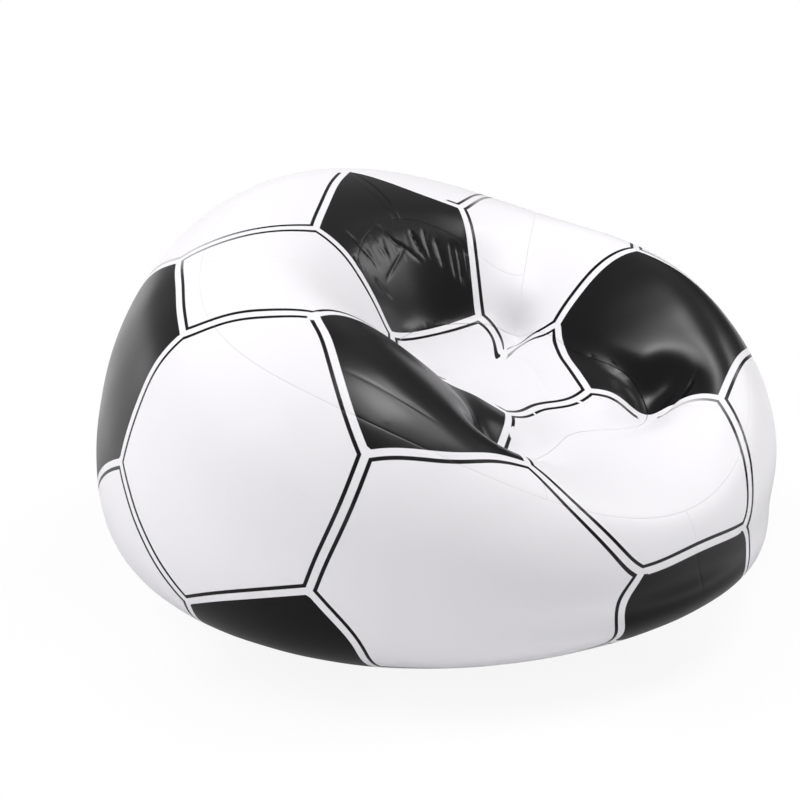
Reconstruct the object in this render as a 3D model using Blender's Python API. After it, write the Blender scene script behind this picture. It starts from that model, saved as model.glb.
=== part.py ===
"""Inflatable armchair: a ball of welded vinyl with a seat pressed into it.

Ten panels of film make the air chamber. They are all cut from one skin, a
surface of two angles. The fall is 0 in the middle of the seat, and grows over
the rim and down the outside to the floor. The heading goes round the chair:
90 is the middle of the back, 270 the middle of the front, and the sitter's
left is at 0. Each panel has a margin turned inwards along its seams, where
the film is welded. Four webs hold the seat's seam down to the base. A valve
with a stopper, a cap and a flap sits low on the back.

Lengths are in metres and angles in degrees. The chair faces -Y, +Z is up,
and the origin is on the floor under the middle of its overall box.
"""
import functools
import math

import bmesh
import bpy
import numpy as np
from mathutils import Matrix, Vector

# Overall sizes
CHAIR_WIDTH = 1.08
CHAIR_DEPTH = 1.10
CHAIR_HEIGHT = 0.66

# Film, welds and the gap left between neighbouring pieces
FILM = 0.0004
FIT_GAP = 0.0003
WELD_MARGIN = 0.008

# Headings of the skin's four sections, and the falls of their points
BACK = 90.0
SECTION_STEP = 60.0
SECTION_FALLS = np.array([0.0, 14.0, 26.0, 38.0, 50.0, 62.0, 76.0, 90.0, 98.0, 105.0])
FLOOR_FALL = SECTION_FALLS[-1]
POINTS_PAST_MIDDLE = 3

# Each section's distance from its ring's centre, as shares of half the width
BACK_RADIUS_SHARES = (0.0, 0.17, 0.32, 0.43, 0.59, 0.82, 1.00, 1.08, 1.02, 0.82)
BACK_CORNER_RADIUS_SHARES = (0.0, 0.17, 0.33, 0.49, 0.68, 0.90, 1.00, 1.07, 1.03, 0.86)
ARM_RADIUS_SHARES = (0.0, 0.15, 0.31, 0.49, 0.71, 0.90, 0.95, 0.95, 0.88, 0.74)
FRONT_RADIUS_SHARES = (0.0, 0.15, 0.31, 0.49, 0.65, 0.73, 0.85, 0.93, 0.87, 0.74)

# Each section's height, as shares of the chair's height
BACK_HEIGHT_SHARES = (0.56, 0.60, 0.69, 0.85, 0.95, 0.99, 0.84, 0.53, 0.25, 0.03)
BACK_CORNER_HEIGHT_SHARES = (0.56, 0.59, 0.67, 0.79, 0.85, 0.80, 0.68, 0.43, 0.20, 0.03)
ARM_HEIGHT_SHARES = (0.56, 0.57, 0.61, 0.67, 0.67, 0.51, 0.34, 0.17, 0.08, 0.03)
FRONT_HEIGHT_SHARES = (0.56, 0.53, 0.49, 0.45, 0.39, 0.31, 0.24, 0.16, 0.09, 0.03)

# How far back each ring's centre lies, as shares of half the depth
RING_CENTRE_SHARES = (-0.23, -0.24, -0.25, -0.26, -0.28, -0.26, -0.16, -0.07, -0.01, 0.04)

# How far the skin is drawn round the chair at the seat, and what is added at the floor
BACK_DRIFT = -2.0
BACK_DRIFT_ADDED = -11.0
SIDE_DRIFT = 9.0
SIDE_DRIFT_ADDED = -13.0

# The seat's seam, its corners, and how deep the webs pull it in
SEAT_SEAM_FALL = 22.0
FRONT_CORNER_FALL_ADDED = 13.0
FRONT_CORNER_SPREAD = 22.0
BACK_CORNER_HEADINGS = (37.5, 142.5)
FRONT_CORNER_HEADINGS = (240.0, 300.0)
SEAM_PULL = 0.010
CORNER_PULL = 0.030
SEAM_PULL_SPREAD = 5.0
CORNER_PULL_SPREAD = 11.0

# The scoops in the arms, beside the front corners
SCOOP_FALL = 39.5
SCOOP_HEADINGS = (231.5, 308.5)
SCOOP_DEPTH = 0.024
SCOOP_FALL_SPREAD = 4.2
SCOOP_HEADING_SPREAD = 6.5

# The seam across the backrest, which dips at both ends, and the one round the rim
BACKREST_SEAM_FALL = 43.0
BACKREST_SEAM_DIP = 11.0
BACKREST_DIP_HEADINGS = (42.5, 137.5)
BACKREST_DIP_SPREAD = 28.0
RIM_FALL = 57.0
RIM_FALL_RISE = 5.0

# The grid that the panels are cut on
COLUMNS = 48
COLUMN_STEP = 360.0 / COLUMNS
SEAT_ROWS = 3
BACKREST_ROWS = 4
UPPER_BACK_ROWS = 3
WALL_ROWS = 10
WALL_ROW_CROWDING = 1.3
SEAT_SEAM_ROW = SEAT_ROWS
BACKREST_SEAM_ROW = SEAT_SEAM_ROW + BACKREST_ROWS
RIM_ROW = BACKREST_SEAM_ROW + UPPER_BACK_ROWS
FLOOR_ROW = RIM_ROW + WALL_ROWS
ANGLE_NUDGE = 0.5

# The base: how its rings shrink, and where it leaves the floor
BASE_RING_SHARES = (1.0, 0.95, 0.88, 0.5)
BASE_FLAT_SHARE = 0.88

# The webs under the seat's seam
WEB_FOOT = 0.014
WEB_FOOT_SHARE = 0.8
WEB_TOP_SET_BACK = 0.003
AIR_HOLE_RADIUS = 0.020
AIR_HOLE_HEIGHT_SHARE = 0.5
AIR_HOLE_SIDES = 20
CUT_OVERRUN = 0.05

# The valve, low on the back to the sitter's left, in the middle of a grid cell
VALVE_COLUMN = 8.5
VALVE_ROW = 7.5
VALVE_DENT = 0.006
VALVE_FLAT_RADIUS = 0.070
VALVE_FADE_RADIUS = 0.130
VALVE_STEPS = 40
VALVE_FLANGE_RADIUS = 0.030
VALVE_FLANGE_THICKNESS = 0.0012
PATCH_RADIUS = 0.034
PATCH_THICKNESS = 0.0006
NECK_BORE_RADIUS = 0.015
NECK_WALL = 0.002
NECK_HEIGHT = 0.005
MOULDED_WALL = 0.0015
STOPPER_DEPTH = 0.007
STOPPER_TAPER = 0.001
STOPPER_LIP = 0.0015
STOPPER_HINGE_REACH = 0.024
STRAP_WIDTH = 0.010
CAP_TUBE_BORE_RADIUS = 0.006
CAP_TUBE_WALL = 0.0012
CAP_RADIUS = 0.0095
CAP_PLUG_DEPTH = 0.006
CAP_PLUG_TAPER = 0.001
PULL_TAB_LENGTH = 0.006
PULL_TAB_WIDTH = 0.007
FLAP_RADIUS = 0.009
FLAP_THICKNESS = 0.0006
FLAP_HINGE_REACH = 0.010
FLAP_TAB_WIDTH = 0.006
FLAP_CLIP_LENGTH = 0.002

# Colours
WHITE_VINYL = (0.86, 0.85, 0.87)
CLEAR_VINYL = (0.80, 0.82, 0.84)
VALVE_WHITE = (0.90, 0.90, 0.90)
FLAP_CLEAR = (0.74, 0.78, 0.82)


def clear_scene():
    """Remove whatever the scene holds."""
    for item in list(bpy.data.objects):
        bpy.data.objects.remove(item, do_unlink=True)


def vinyl(name, colour, roughness):
    """Return a plain plastic material."""
    material = bpy.data.materials.new(name)
    material.use_nodes = True
    shader = material.node_tree.nodes["Principled BSDF"]
    shader.inputs["Base Color"].default_value = (*colour, 1.0)
    shader.inputs["Roughness"].default_value = roughness
    shader.inputs["Metallic"].default_value = 0.0
    return material


def add_object(name, mesh, material):
    """Put a mesh in the scene as a named object."""
    item = bpy.data.objects.new(name, mesh)
    mesh.materials.append(material)
    bpy.context.scene.collection.objects.link(item)
    return item


def unit(vectors):
    """Scale vectors to length one."""
    return vectors / np.linalg.norm(vectors, axis=-1, keepdims=True)


# The skin as a surface of fall and heading

def natural_spline(stations, values, places):
    """Read, at the places, the smooth curve through the stations' values.

    It is the natural cubic spline, whose bend is zero at both ends.
    """
    steps = np.diff(stations)[:, None]
    slopes = np.diff(values, axis=0) / steps
    inner = steps[1:-1, 0]
    middle = 2.0 * (steps[:-1, 0] + steps[1:, 0])
    matrix = np.diag(middle) + np.diag(inner, 1) + np.diag(inner, -1)
    bends = np.zeros_like(values)
    bends[1:-1] = np.linalg.solve(matrix, 6.0 * np.diff(slopes, axis=0))
    left = np.clip(np.searchsorted(stations, places) - 1, 0, len(stations) - 2)
    step = steps[left]
    past = places[:, None] - stations[left][:, None]
    ahead = step - past
    cubic = (bends[left] * ahead ** 3 + bends[left + 1] * past ** 3) / (6.0 * step)
    start = (values[left] / step - bends[left] * step / 6.0) * ahead
    end = (values[left + 1] / step - bends[left + 1] * step / 6.0) * past
    return cubic + start + end


def section_tables():
    """Return the falls, radii, heights and ring centres that the skin follows.

    Each section runs on past the middle of the seat into the section opposite,
    so the seat is smooth there.
    """
    past = slice(POINTS_PAST_MIDDLE, 0, -1)
    radii = np.column_stack((BACK_RADIUS_SHARES, BACK_CORNER_RADIUS_SHARES,
                             ARM_RADIUS_SHARES, FRONT_RADIUS_SHARES))
    heights = np.column_stack((BACK_HEIGHT_SHARES, BACK_CORNER_HEIGHT_SHARES,
                               ARM_HEIGHT_SHARES, FRONT_HEIGHT_SHARES))
    centres = np.array(RING_CENTRE_SHARES)[:, None]
    falls = np.concatenate((-SECTION_FALLS[past], SECTION_FALLS))
    radii = np.vstack((-radii[past, ::-1], radii)) * CHAIR_WIDTH / 2
    heights = np.vstack((heights[past, ::-1], heights)) * CHAIR_HEIGHT
    centres = np.vstack((centres[past], centres)) * CHAIR_DEPTH / 2
    return falls, radii, heights, centres


def wave_mix():
    """Return the matrix that turns four section values into cosine waves."""
    waves = np.arange(4)
    turns = np.radians(SECTION_STEP) * waves
    return np.linalg.inv(np.cos(np.outer(turns, waves)))


def drawn_surface(fall, heading):
    """Return points of the skin before it is fitted to the overall sizes.

    Round each ring, radius and height are sums of cosine waves of the heading
    that pass through the four sections.
    """
    falls, radii, heights, centres = section_tables()
    turn = np.radians(heading - BACK)
    waves = np.cos(np.outer(turn, np.arange(4)))
    mix = wave_mix().T
    radius = (natural_spline(falls, radii, fall) @ mix * waves).sum(axis=1)
    height = (natural_spline(falls, heights, fall) @ mix * waves).sum(axis=1)
    centre = natural_spline(falls, centres, fall)[:, 0]
    grown = (fall / FLOOR_FALL) ** 2
    drift = ((BACK_DRIFT + BACK_DRIFT_ADDED * grown) * np.sin(turn)
             + (SIDE_DRIFT + SIDE_DRIFT_ADDED * grown) * np.sin(2.0 * turn))
    around = np.radians(heading + drift)
    return np.column_stack((radius * np.cos(around), radius * np.sin(around) + centre, height))


@functools.cache
def overall_fit():
    """Return the scale and shift that bring the drawn skin to the overall sizes."""
    falls, headings = np.meshgrid(np.linspace(0.0, FLOOR_FALL, 106), np.arange(0.0, 360.0, 2.5))
    points = drawn_surface(falls.ravel(), headings.ravel())
    low = points.min(axis=0)
    high = points.max(axis=0)
    low[2] = 0.0
    scale = np.array((CHAIR_WIDTH, CHAIR_DEPTH, CHAIR_HEIGHT)) / (high - low)
    middle = (high + low) / 2
    middle[2] = 0.0
    return scale, middle


def bump(offset, spread):
    """Return a smooth bell, 1 where the offset is 0."""
    return np.exp(-(offset / spread) ** 2)


def turned_apart(heading, other):
    """Return the angle between headings, from -180 to 180."""
    return (heading - other + 180.0) % 360.0 - 180.0


def seat_seam_fall(heading):
    """Return the fall of the seat's seam, which reaches forward to two corners."""
    fall = np.full_like(heading, SEAT_SEAM_FALL)
    for corner in FRONT_CORNER_HEADINGS:
        fall += FRONT_CORNER_FALL_ADDED * bump(turned_apart(heading, corner), FRONT_CORNER_SPREAD)
    return fall


def backrest_seam_fall(heading):
    """Return the fall of the backrest's seam, an arch that dips at both ends."""
    fall = np.full_like(heading, BACKREST_SEAM_FALL)
    for dip in BACKREST_DIP_HEADINGS:
        fall -= BACKREST_SEAM_DIP * bump(turned_apart(heading, dip), BACKREST_DIP_SPREAD)
    return fall


def rim_fall(heading):
    """Return the fall of the rim's seam, further over at the back than in front."""
    return RIM_FALL + RIM_FALL_RISE * np.cos(np.radians(heading - BACK))


def pull_depth(fall, heading):
    """Return how far the webs draw the skin in, and the scoops beside the front corners."""
    depth = np.full_like(heading, SEAM_PULL)
    for corner in BACK_CORNER_HEADINGS + FRONT_CORNER_HEADINGS:
        depth += CORNER_PULL * bump(turned_apart(heading, corner), CORNER_PULL_SPREAD)
    depth *= bump(fall - seat_seam_fall(heading), SEAM_PULL_SPREAD)
    for scoop in SCOOP_HEADINGS:
        along = bump(turned_apart(heading, scoop), SCOOP_HEADING_SPREAD)
        depth += SCOOP_DEPTH * along * bump(fall - SCOOP_FALL, SCOOP_FALL_SPREAD)
    return depth


def surface_normals(surface, fall, heading):
    """Return a surface's outward normals, from points a nudge apart."""
    down = surface(fall + ANGLE_NUDGE, heading) - surface(fall - ANGLE_NUDGE, heading)
    around = surface(fall, heading + ANGLE_NUDGE) - surface(fall, heading - ANGLE_NUDGE)
    return unit(np.cross(down, around))


def fitted_surface(fall, heading):
    """Return points of the blown-up skin without the webs' pull."""
    scale, middle = overall_fit()
    return (drawn_surface(fall, heading) - middle) * scale


def pulled_surface(fall, heading):
    """Return points of the skin with the seat's seam drawn in."""
    normals = surface_normals(fitted_surface, fall, heading)
    return fitted_surface(fall, heading) - normals * pull_depth(fall, heading)[:, None]


def wall_row_fall(row, heading):
    """Return the fall of a row of the outer wall, counted from the rim."""
    share = 1.0 - (1.0 - row / WALL_ROWS) ** WALL_ROW_CROWDING
    rim = rim_fall(heading)
    return rim + share * (FLOOR_FALL - rim)


@functools.cache
def valve_frame():
    """Return the valve's origin and axes: right, up the wall, and outwards."""
    heading = np.array([VALVE_COLUMN * COLUMN_STEP])
    fall = wall_row_fall(VALVE_ROW, heading)
    outwards = surface_normals(pulled_surface, fall, heading)[0]
    origin = pulled_surface(fall, heading)[0] - outwards * VALVE_DENT
    right = unit(np.cross((0.0, 0.0, 1.0), outwards))
    up = np.cross(outwards, right)
    return origin, right, up, outwards


def skin(fall, heading):
    """Return points of the finished skin, flat round the valve."""
    points = pulled_surface(fall, heading)
    origin, _, _, outwards = valve_frame()
    offset = points - origin
    height = offset @ outwards
    away = np.linalg.norm(offset - height[:, None] * outwards, axis=1)
    near = np.linalg.norm(offset, axis=1) < 2.0 * VALVE_FADE_RADIUS
    share = (VALVE_FADE_RADIUS - away) / (VALVE_FADE_RADIUS - VALVE_FLAT_RADIUS)
    share = np.clip(share, 0.0, 1.0) * near
    smooth = share * share * (3.0 - 2.0 * share)
    return points - (smooth * height)[:, None] * outwards


# The grid of points that all panels share

def grid_falls(headings):
    """Return the falls of the grid's rows at each heading, seat ring to floor."""
    seam = seat_seam_fall(headings)
    across = backrest_seam_fall(headings)
    rim = rim_fall(headings)
    rows = [seam * row / SEAT_ROWS for row in range(1, SEAT_ROWS + 1)]
    for row in range(1, BACKREST_ROWS + 1):
        rows.append(seam + (across - seam) * row / BACKREST_ROWS)
    for row in range(1, UPPER_BACK_ROWS + 1):
        rows.append(across + (rim - across) * row / UPPER_BACK_ROWS)
    for row in range(1, WALL_ROWS + 1):
        rows.append(wall_row_fall(row, headings))
    return np.array(rows)


def skin_grid():
    """Return the grid's points, its inward directions and its seams' side directions.

    Row 0 is the first ring round the middle of the seat, so a row's number is
    one less than the count of rings.
    """
    headings = np.arange(COLUMNS) * COLUMN_STEP
    falls = grid_falls(headings)
    shape = falls.shape + (3,)
    fall = falls.ravel()
    heading = np.tile(headings, len(falls))
    points = skin(fall, heading).reshape(shape)
    inward = -surface_normals(skin, fall, heading).reshape(shape)
    around = np.roll(points, -1, axis=1) - np.roll(points, 1, axis=1)
    down = np.gradient(points, axis=0)
    past_row = unit(np.cross(inward, around))
    past_column = unit(np.cross(down, inward))
    return points, inward, past_row, past_column


def base_grid(points):
    """Return the base's rings: the lower seam, and rings that shrink to a flat middle."""
    seam = points[FLOOR_ROW - 1]
    centre = seam.mean(axis=0)
    rings = []
    for share in BASE_RING_SHARES:
        ring = centre + share * (seam - centre)
        lift = max(share - BASE_FLAT_SHARE, 0.0) / (1.0 - BASE_FLAT_SHARE)
        ring[:, 2] = seam[:, 2] * lift ** 2
        rings.append(ring)
    centre[2] = 0.0
    return np.array(rings), centre


# Sheets of film

def triangles_of(corners, points):
    """Split a four-sided face along its shorter diagonal."""
    first, second, third, fourth = corners
    across = np.linalg.norm(points[first] - points[third])
    other = np.linalg.norm(points[second] - points[fourth])
    if across <= other:
        return [(first, second, third), (first, third, fourth)]
    return [(second, third, fourth), (second, fourth, first)]


def sheet_mesh(name, rows, closed=False, trays=(), peak_before=None, peak_after=None):
    """Return a mesh over rows of points, with the outside up.

    A closed sheet joins its last column to its first. The cells in trays are
    left out, which are the corners where two turned-in margins meet. A peak is
    one point that the first or the last row runs to.
    """
    height, width = rows.shape[:2]
    points = list(rows.reshape(-1, 3))
    faces = []
    for row in range(height - 1):
        for column in range(width if closed else width - 1):
            if (row, column) in trays:
                continue
            after = (column + 1) % width
            corners = (row * width + column, (row + 1) * width + column,
                       (row + 1) * width + after, row * width + after)
            faces += triangles_of(corners, points)
    if peak_before is not None:
        faces += [(len(points), column, (column + 1) % width) for column in range(width)]
        points.append(peak_before)
    if peak_after is not None:
        last = (height - 1) * width
        faces += [(last + (column + 1) % width, last + column, len(points))
                  for column in range(width)]
        points.append(peak_after)
    shape = bmesh.new()
    corners = [shape.verts.new(point) for point in points]
    for face in faces:
        shape.faces.new([corners[index] for index in face])
    loose = [corner for corner in corners if not corner.link_faces]
    bmesh.ops.delete(shape, geom=loose, context="VERTS")
    bmesh.ops.remove_doubles(shape, verts=shape.verts, dist=FIT_GAP / 10)
    mesh = bpy.data.meshes.new(name)
    shape.to_mesh(mesh)
    shape.free()
    mesh.shade_smooth()
    mesh.set_sharp_from_angle(angle=math.radians(50.0))
    return mesh


def give_thickness(item, offset):
    """Give a sheet its film's thickness: -1 grows it inwards, 0 both ways."""
    solid = item.modifiers.new("film", "SOLIDIFY")
    solid.thickness = FILM
    solid.offset = offset
    solid.use_even_offset = True
    return item


def seam_clearance(row):
    """Return half the gap at a row's seam, which holds a web's edge at the seat."""
    if row == SEAT_SEAM_ROW:
        return FILM / 2 + FIT_GAP
    return FIT_GAP / 2


def welded_panel(name, grid, rows, columns, material):
    """Return a panel between two rows and two columns, with margins turned in."""
    first_row, last_row = rows
    points, inward, past_row, past_column = grid
    span = np.arange(columns[0], columns[1] + 1) % COLUMNS
    band = slice(first_row - 1, last_row)
    cut = points[band][:, span].copy()
    inside = inward[band][:, span]
    down = past_row[band][:, span]
    across = past_column[band][:, span]
    cut[0] += down[0] * seam_clearance(first_row)
    cut[-1] -= down[-1] * seam_clearance(last_row)
    cut[:, 0] += across[:, 0] * FIT_GAP / 2
    cut[:, -1] -= across[:, -1] * FIT_GAP / 2
    turned = np.pad(cut, ((1, 1), (1, 1), (0, 0)), mode="edge")
    margin = np.pad(inside, ((1, 1), (1, 1), (0, 0)), mode="edge") * WELD_MARGIN
    for edge in (0, -1):
        turned[edge] += margin[edge]
        turned[1:-1, edge] += margin[1:-1, edge]
    height, width = turned.shape[:2]
    trays = [(row, column) for row in (0, height - 2) for column in (0, width - 2)]
    mesh = sheet_mesh(name, turned, trays=trays)
    return give_thickness(add_object(name, mesh, material), -1.0)


def seat_panel(grid, material):
    """Return the seat: a round panel inside the seam that the webs hold."""
    points, inward, past_row, _ = grid
    rings = points[:SEAT_SEAM_ROW].copy()
    last = SEAT_SEAM_ROW - 1
    rings[last] -= past_row[last] * seam_clearance(SEAT_SEAM_ROW)
    margin = rings[last] + inward[last] * WELD_MARGIN
    rows = np.concatenate((rings, margin[None]))
    middle = skin(np.zeros(1), np.zeros(1))[0]
    mesh = sheet_mesh("seat_panel", rows, closed=True, peak_before=middle)
    return give_thickness(add_object("seat_panel", mesh, material), -1.0)


def base_panel(grid, material):
    """Return the base, flat on the floor and lifted at its seam."""
    points, inward, past_row, _ = grid
    rings, centre = base_grid(points)
    last = FLOOR_ROW - 1
    rings[0] += past_row[last] * FIT_GAP / 2
    margin = rings[0] + inward[last] * WELD_MARGIN
    rows = np.concatenate((margin[None], rings))
    mesh = sheet_mesh("base_panel", rows, closed=True, peak_after=centre)
    return give_thickness(add_object("base_panel", mesh, material), -1.0)


# Webs that hold the seat's seam down to the base

def turned_cutter(name, radius, length, frame, sides):
    """Return a round cutter along the frame's own Z axis."""
    shape = bmesh.new()
    bmesh.ops.create_cone(shape, cap_ends=True, segments=sides,
                          radius1=radius, radius2=radius, depth=length)
    mesh = bpy.data.meshes.new(name)
    shape.to_mesh(mesh)
    shape.free()
    cutter = bpy.data.objects.new(name, mesh)
    cutter.matrix_world = frame
    cutter.hide_render = True
    cutter.display_type = "WIRE"
    bpy.context.scene.collection.objects.link(cutter)
    return cutter


def cut_with(item, cutter):
    """Cut one solid out of another."""
    cut = item.modifiers.new(cutter.name, "BOOLEAN")
    cut.operation = "DIFFERENCE"
    cut.solver = "EXACT"
    cut.object = cutter


def seat_web(name, grid, columns, hole_columns, material):
    """Return one web: its top between two margins, its foot flat on the base.

    The foot stands further in than the seam, on the flat of the base.
    """
    points, inward, _, _ = grid
    span = np.arange(columns[0], columns[1] + 1) % COLUMNS
    seam = points[SEAT_SEAM_ROW - 1]
    middle = seam.mean(axis=0)
    edge = seam[span]
    into = inward[SEAT_SEAM_ROW - 1][span]
    top = edge + into * WEB_TOP_SET_BACK
    bend = edge + into * WELD_MARGIN
    foot = middle + WEB_FOOT_SHARE * (bend - middle)
    foot[:, 2] = FILM + FIT_GAP + FILM / 2
    outwards = edge - middle
    outwards[:, 2] = 0.0
    toe = foot + unit(outwards) * WEB_FOOT
    rows = np.array((top, bend, foot, toe))
    mesh = sheet_mesh(name, rows)
    web = give_thickness(add_object(name, mesh, material), 0.0)
    for column in hole_columns:
        at = column - columns[0]
        centre = bend[at] + AIR_HOLE_HEIGHT_SHARE * (foot[at] - bend[at])
        square_to_web = Vector(np.cross(foot[at] - bend[at], bend[at + 1] - bend[at - 1]))
        turn = square_to_web.to_track_quat("Z", "Y").to_matrix().to_4x4()
        frame = Matrix.Translation(centre) @ turn
        cutter = turned_cutter(f"{name}_hole_{at}", AIR_HOLE_RADIUS, 2 * CUT_OVERRUN,
                               frame, AIR_HOLE_SIDES)
        cut_with(web, cutter)
    return web


# The valve, drawn in its own frame: X right, Y up the wall, Z outwards

def valve_levels():
    """Return the valve's levels, measured outwards from the wall's face."""
    levels = {"patch_top": -FILM - FIT_GAP}
    levels["patch_bottom"] = levels["patch_top"] - PATCH_THICKNESS
    levels["flange_top"] = levels["patch_bottom"] - FIT_GAP
    levels["flange_bottom"] = levels["flange_top"] - VALVE_FLANGE_THICKNESS
    levels["neck_top"] = NECK_HEIGHT
    levels["lip_bottom"] = levels["neck_top"] + FIT_GAP
    levels["lip_top"] = levels["lip_bottom"] + MOULDED_WALL
    levels["stopper_bottom"] = levels["neck_top"] - STOPPER_DEPTH
    levels["cap_bottom"] = levels["lip_top"] + FIT_GAP
    levels["cap_top"] = levels["cap_bottom"] + MOULDED_WALL
    levels["flap_top"] = levels["stopper_bottom"] - FIT_GAP
    levels["flap_bottom"] = levels["flap_top"] - FLAP_THICKNESS
    return levels


def turned_shape(profile, closed):
    """Return a shape turned about Z from points of radius and height.

    A closed profile makes a ring. An open one starts and ends on the axis.
    """
    shape = bmesh.new()
    corners = [shape.verts.new((radius, 0.0, height)) for radius, height in profile]
    edges = [shape.edges.new(pair) for pair in zip(corners, corners[1:])]
    if closed:
        edges.append(shape.edges.new((corners[-1], corners[0])))
    bmesh.ops.spin(shape, geom=corners + edges, cent=(0.0, 0.0, 0.0), axis=(0.0, 0.0, 1.0),
                   angle=math.radians(360.0), steps=VALVE_STEPS)
    bmesh.ops.remove_doubles(shape, verts=shape.verts, dist=FIT_GAP / 10)
    bmesh.ops.recalc_face_normals(shape, faces=shape.faces)
    return shape


def block_shape(low, high):
    """Return a box between two corners."""
    shape = bmesh.new()
    size = Vector(high) - Vector(low)
    middle = (Vector(high) + Vector(low)) / 2
    place = Matrix.Translation(middle) @ Matrix.Diagonal((*size, 1.0))
    bmesh.ops.create_cube(shape, size=1.0, matrix=place)
    return shape


def valve_piece(name, shape, pivot, material, tab=None):
    """Return a valve piece whose origin is its pivot, with a tab joined to it."""
    origin, right, up, outwards = valve_frame()
    frame = Matrix((right, up, outwards)).transposed().to_4x4()
    frame.translation = origin
    shift = Matrix.Translation(-Vector(pivot))
    bmesh.ops.transform(shape, matrix=shift, verts=shape.verts)
    mesh = bpy.data.meshes.new(name)
    shape.to_mesh(mesh)
    shape.free()
    mesh.shade_smooth()
    mesh.set_sharp_from_angle(angle=math.radians(35.0))
    item = add_object(name, mesh, material)
    item.matrix_world = frame @ Matrix.Translation(pivot)
    if tab is not None:
        bmesh.ops.transform(tab, matrix=shift, verts=tab.verts)
        tab_mesh = bpy.data.meshes.new(name + "_tab")
        tab.to_mesh(tab_mesh)
        tab.free()
        guide = bpy.data.objects.new(name + "_tab", tab_mesh)
        guide.matrix_world = item.matrix_world
        guide.hide_render = True
        guide.display_type = "WIRE"
        bpy.context.scene.collection.objects.link(guide)
        join = item.modifiers.new("tab", "BOOLEAN")
        join.operation = "UNION"
        join.solver = "EXACT"
        join.object = guide
    return item


def valve_patch(material):
    """Return the ring of film that doubles the wall round the valve."""
    levels = valve_levels()
    bore = NECK_BORE_RADIUS + NECK_WALL + FIT_GAP
    profile = [(bore, levels["patch_bottom"]), (PATCH_RADIUS, levels["patch_bottom"]),
               (PATCH_RADIUS, levels["patch_top"]), (bore, levels["patch_top"])]
    return valve_piece("valve_patch", turned_shape(profile, True), (0.0, 0.0, 0.0), material)


def valve_base(material):
    """Return the welded flange with the neck that the stopper plugs into."""
    levels = valve_levels()
    neck = NECK_BORE_RADIUS + NECK_WALL
    profile = [(NECK_BORE_RADIUS, levels["flange_bottom"]),
               (VALVE_FLANGE_RADIUS, levels["flange_bottom"]),
               (VALVE_FLANGE_RADIUS, levels["flange_top"]),
               (neck, levels["flange_top"]),
               (neck, levels["neck_top"]),
               (NECK_BORE_RADIUS, levels["neck_top"])]
    half = STRAP_WIDTH / 2
    ear = block_shape((-half, -STOPPER_HINGE_REACH + 2 * FIT_GAP,
                       levels["neck_top"] - MOULDED_WALL),
                      (half, -neck + NECK_WALL / 2, levels["neck_top"]))
    return valve_piece("valve_base", turned_shape(profile, True), (0.0, 0.0, 0.0),
                       material, ear)


def valve_stopper(material):
    """Return the wide stopper: a tapered cup with a tube for the cap."""
    levels = valve_levels()
    top_radius = NECK_BORE_RADIUS - FIT_GAP
    low_radius = top_radius - STOPPER_TAPER
    lip = NECK_BORE_RADIUS + NECK_WALL + STOPPER_LIP
    tube = CAP_TUBE_BORE_RADIUS + CAP_TUBE_WALL
    plate_top = levels["stopper_bottom"] + MOULDED_WALL
    profile = [(CAP_TUBE_BORE_RADIUS, levels["stopper_bottom"]),
               (low_radius, levels["stopper_bottom"]),
               (top_radius, levels["lip_bottom"]),
               (lip, levels["lip_bottom"]),
               (lip, levels["lip_top"]),
               (top_radius - MOULDED_WALL, levels["lip_top"]),
               (low_radius - MOULDED_WALL, plate_top),
               (tube, plate_top),
               (tube, levels["lip_top"]),
               (CAP_TUBE_BORE_RADIUS, levels["lip_top"])]
    half = STRAP_WIDTH / 2
    strap = block_shape((-half, -STOPPER_HINGE_REACH, levels["lip_bottom"]),
                        (half, -lip + STOPPER_LIP, levels["lip_top"]))
    pivot = (0.0, -STOPPER_HINGE_REACH, levels["neck_top"])
    return valve_piece("valve_stopper", turned_shape(profile, True), pivot, material, strap)


def valve_cap(material):
    """Return the small cap with its plug, its strap and its pull tab."""
    levels = valve_levels()
    plug = CAP_TUBE_BORE_RADIUS - FIT_GAP
    plug_bottom = levels["lip_top"] - CAP_PLUG_DEPTH
    reach = NECK_BORE_RADIUS + NECK_WALL + STOPPER_LIP + FIT_GAP
    profile = [(0.0, plug_bottom), (plug - CAP_PLUG_TAPER, plug_bottom),
               (plug, levels["cap_bottom"]), (CAP_RADIUS, levels["cap_bottom"]),
               (CAP_RADIUS, levels["cap_top"]), (0.0, levels["cap_top"])]
    half = PULL_TAB_WIDTH / 2
    strap = block_shape((-half, -CAP_RADIUS - PULL_TAB_LENGTH, levels["cap_bottom"]),
                        (half, reach, levels["cap_top"]))
    pivot = (0.0, reach, levels["lip_top"])
    return valve_piece("valve_cap", turned_shape(profile, False), pivot, material, strap)


def valve_flap(material):
    """Return the flap that closes the tube from inside."""
    levels = valve_levels()
    profile = [(0.0, levels["flap_bottom"]), (FLAP_RADIUS, levels["flap_bottom"]),
               (FLAP_RADIUS, levels["flap_top"]), (0.0, levels["flap_top"])]
    half = FLAP_TAB_WIDTH / 2
    tab = block_shape((-half, -FLAP_HINGE_REACH, levels["flap_bottom"]),
                      (half, -FLAP_RADIUS / 2, levels["flap_top"]))
    pivot = (0.0, -FLAP_HINGE_REACH, levels["flap_top"])
    return valve_piece("valve_flap", turned_shape(profile, False), pivot, material, tab)


def flap_clip(material):
    """Return the clip that holds the flap's fixed end under the stopper."""
    levels = valve_levels()
    start = FLAP_HINGE_REACH + FLAP_THICKNESS + FIT_GAP
    half = FLAP_TAB_WIDTH / 2
    clip = block_shape((-half, -start - FLAP_CLIP_LENGTH, levels["flap_bottom"]),
                       (half, -start, levels["flap_top"]))
    return valve_piece("flap_clip", clip, (0.0, 0.0, 0.0), material)


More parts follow.
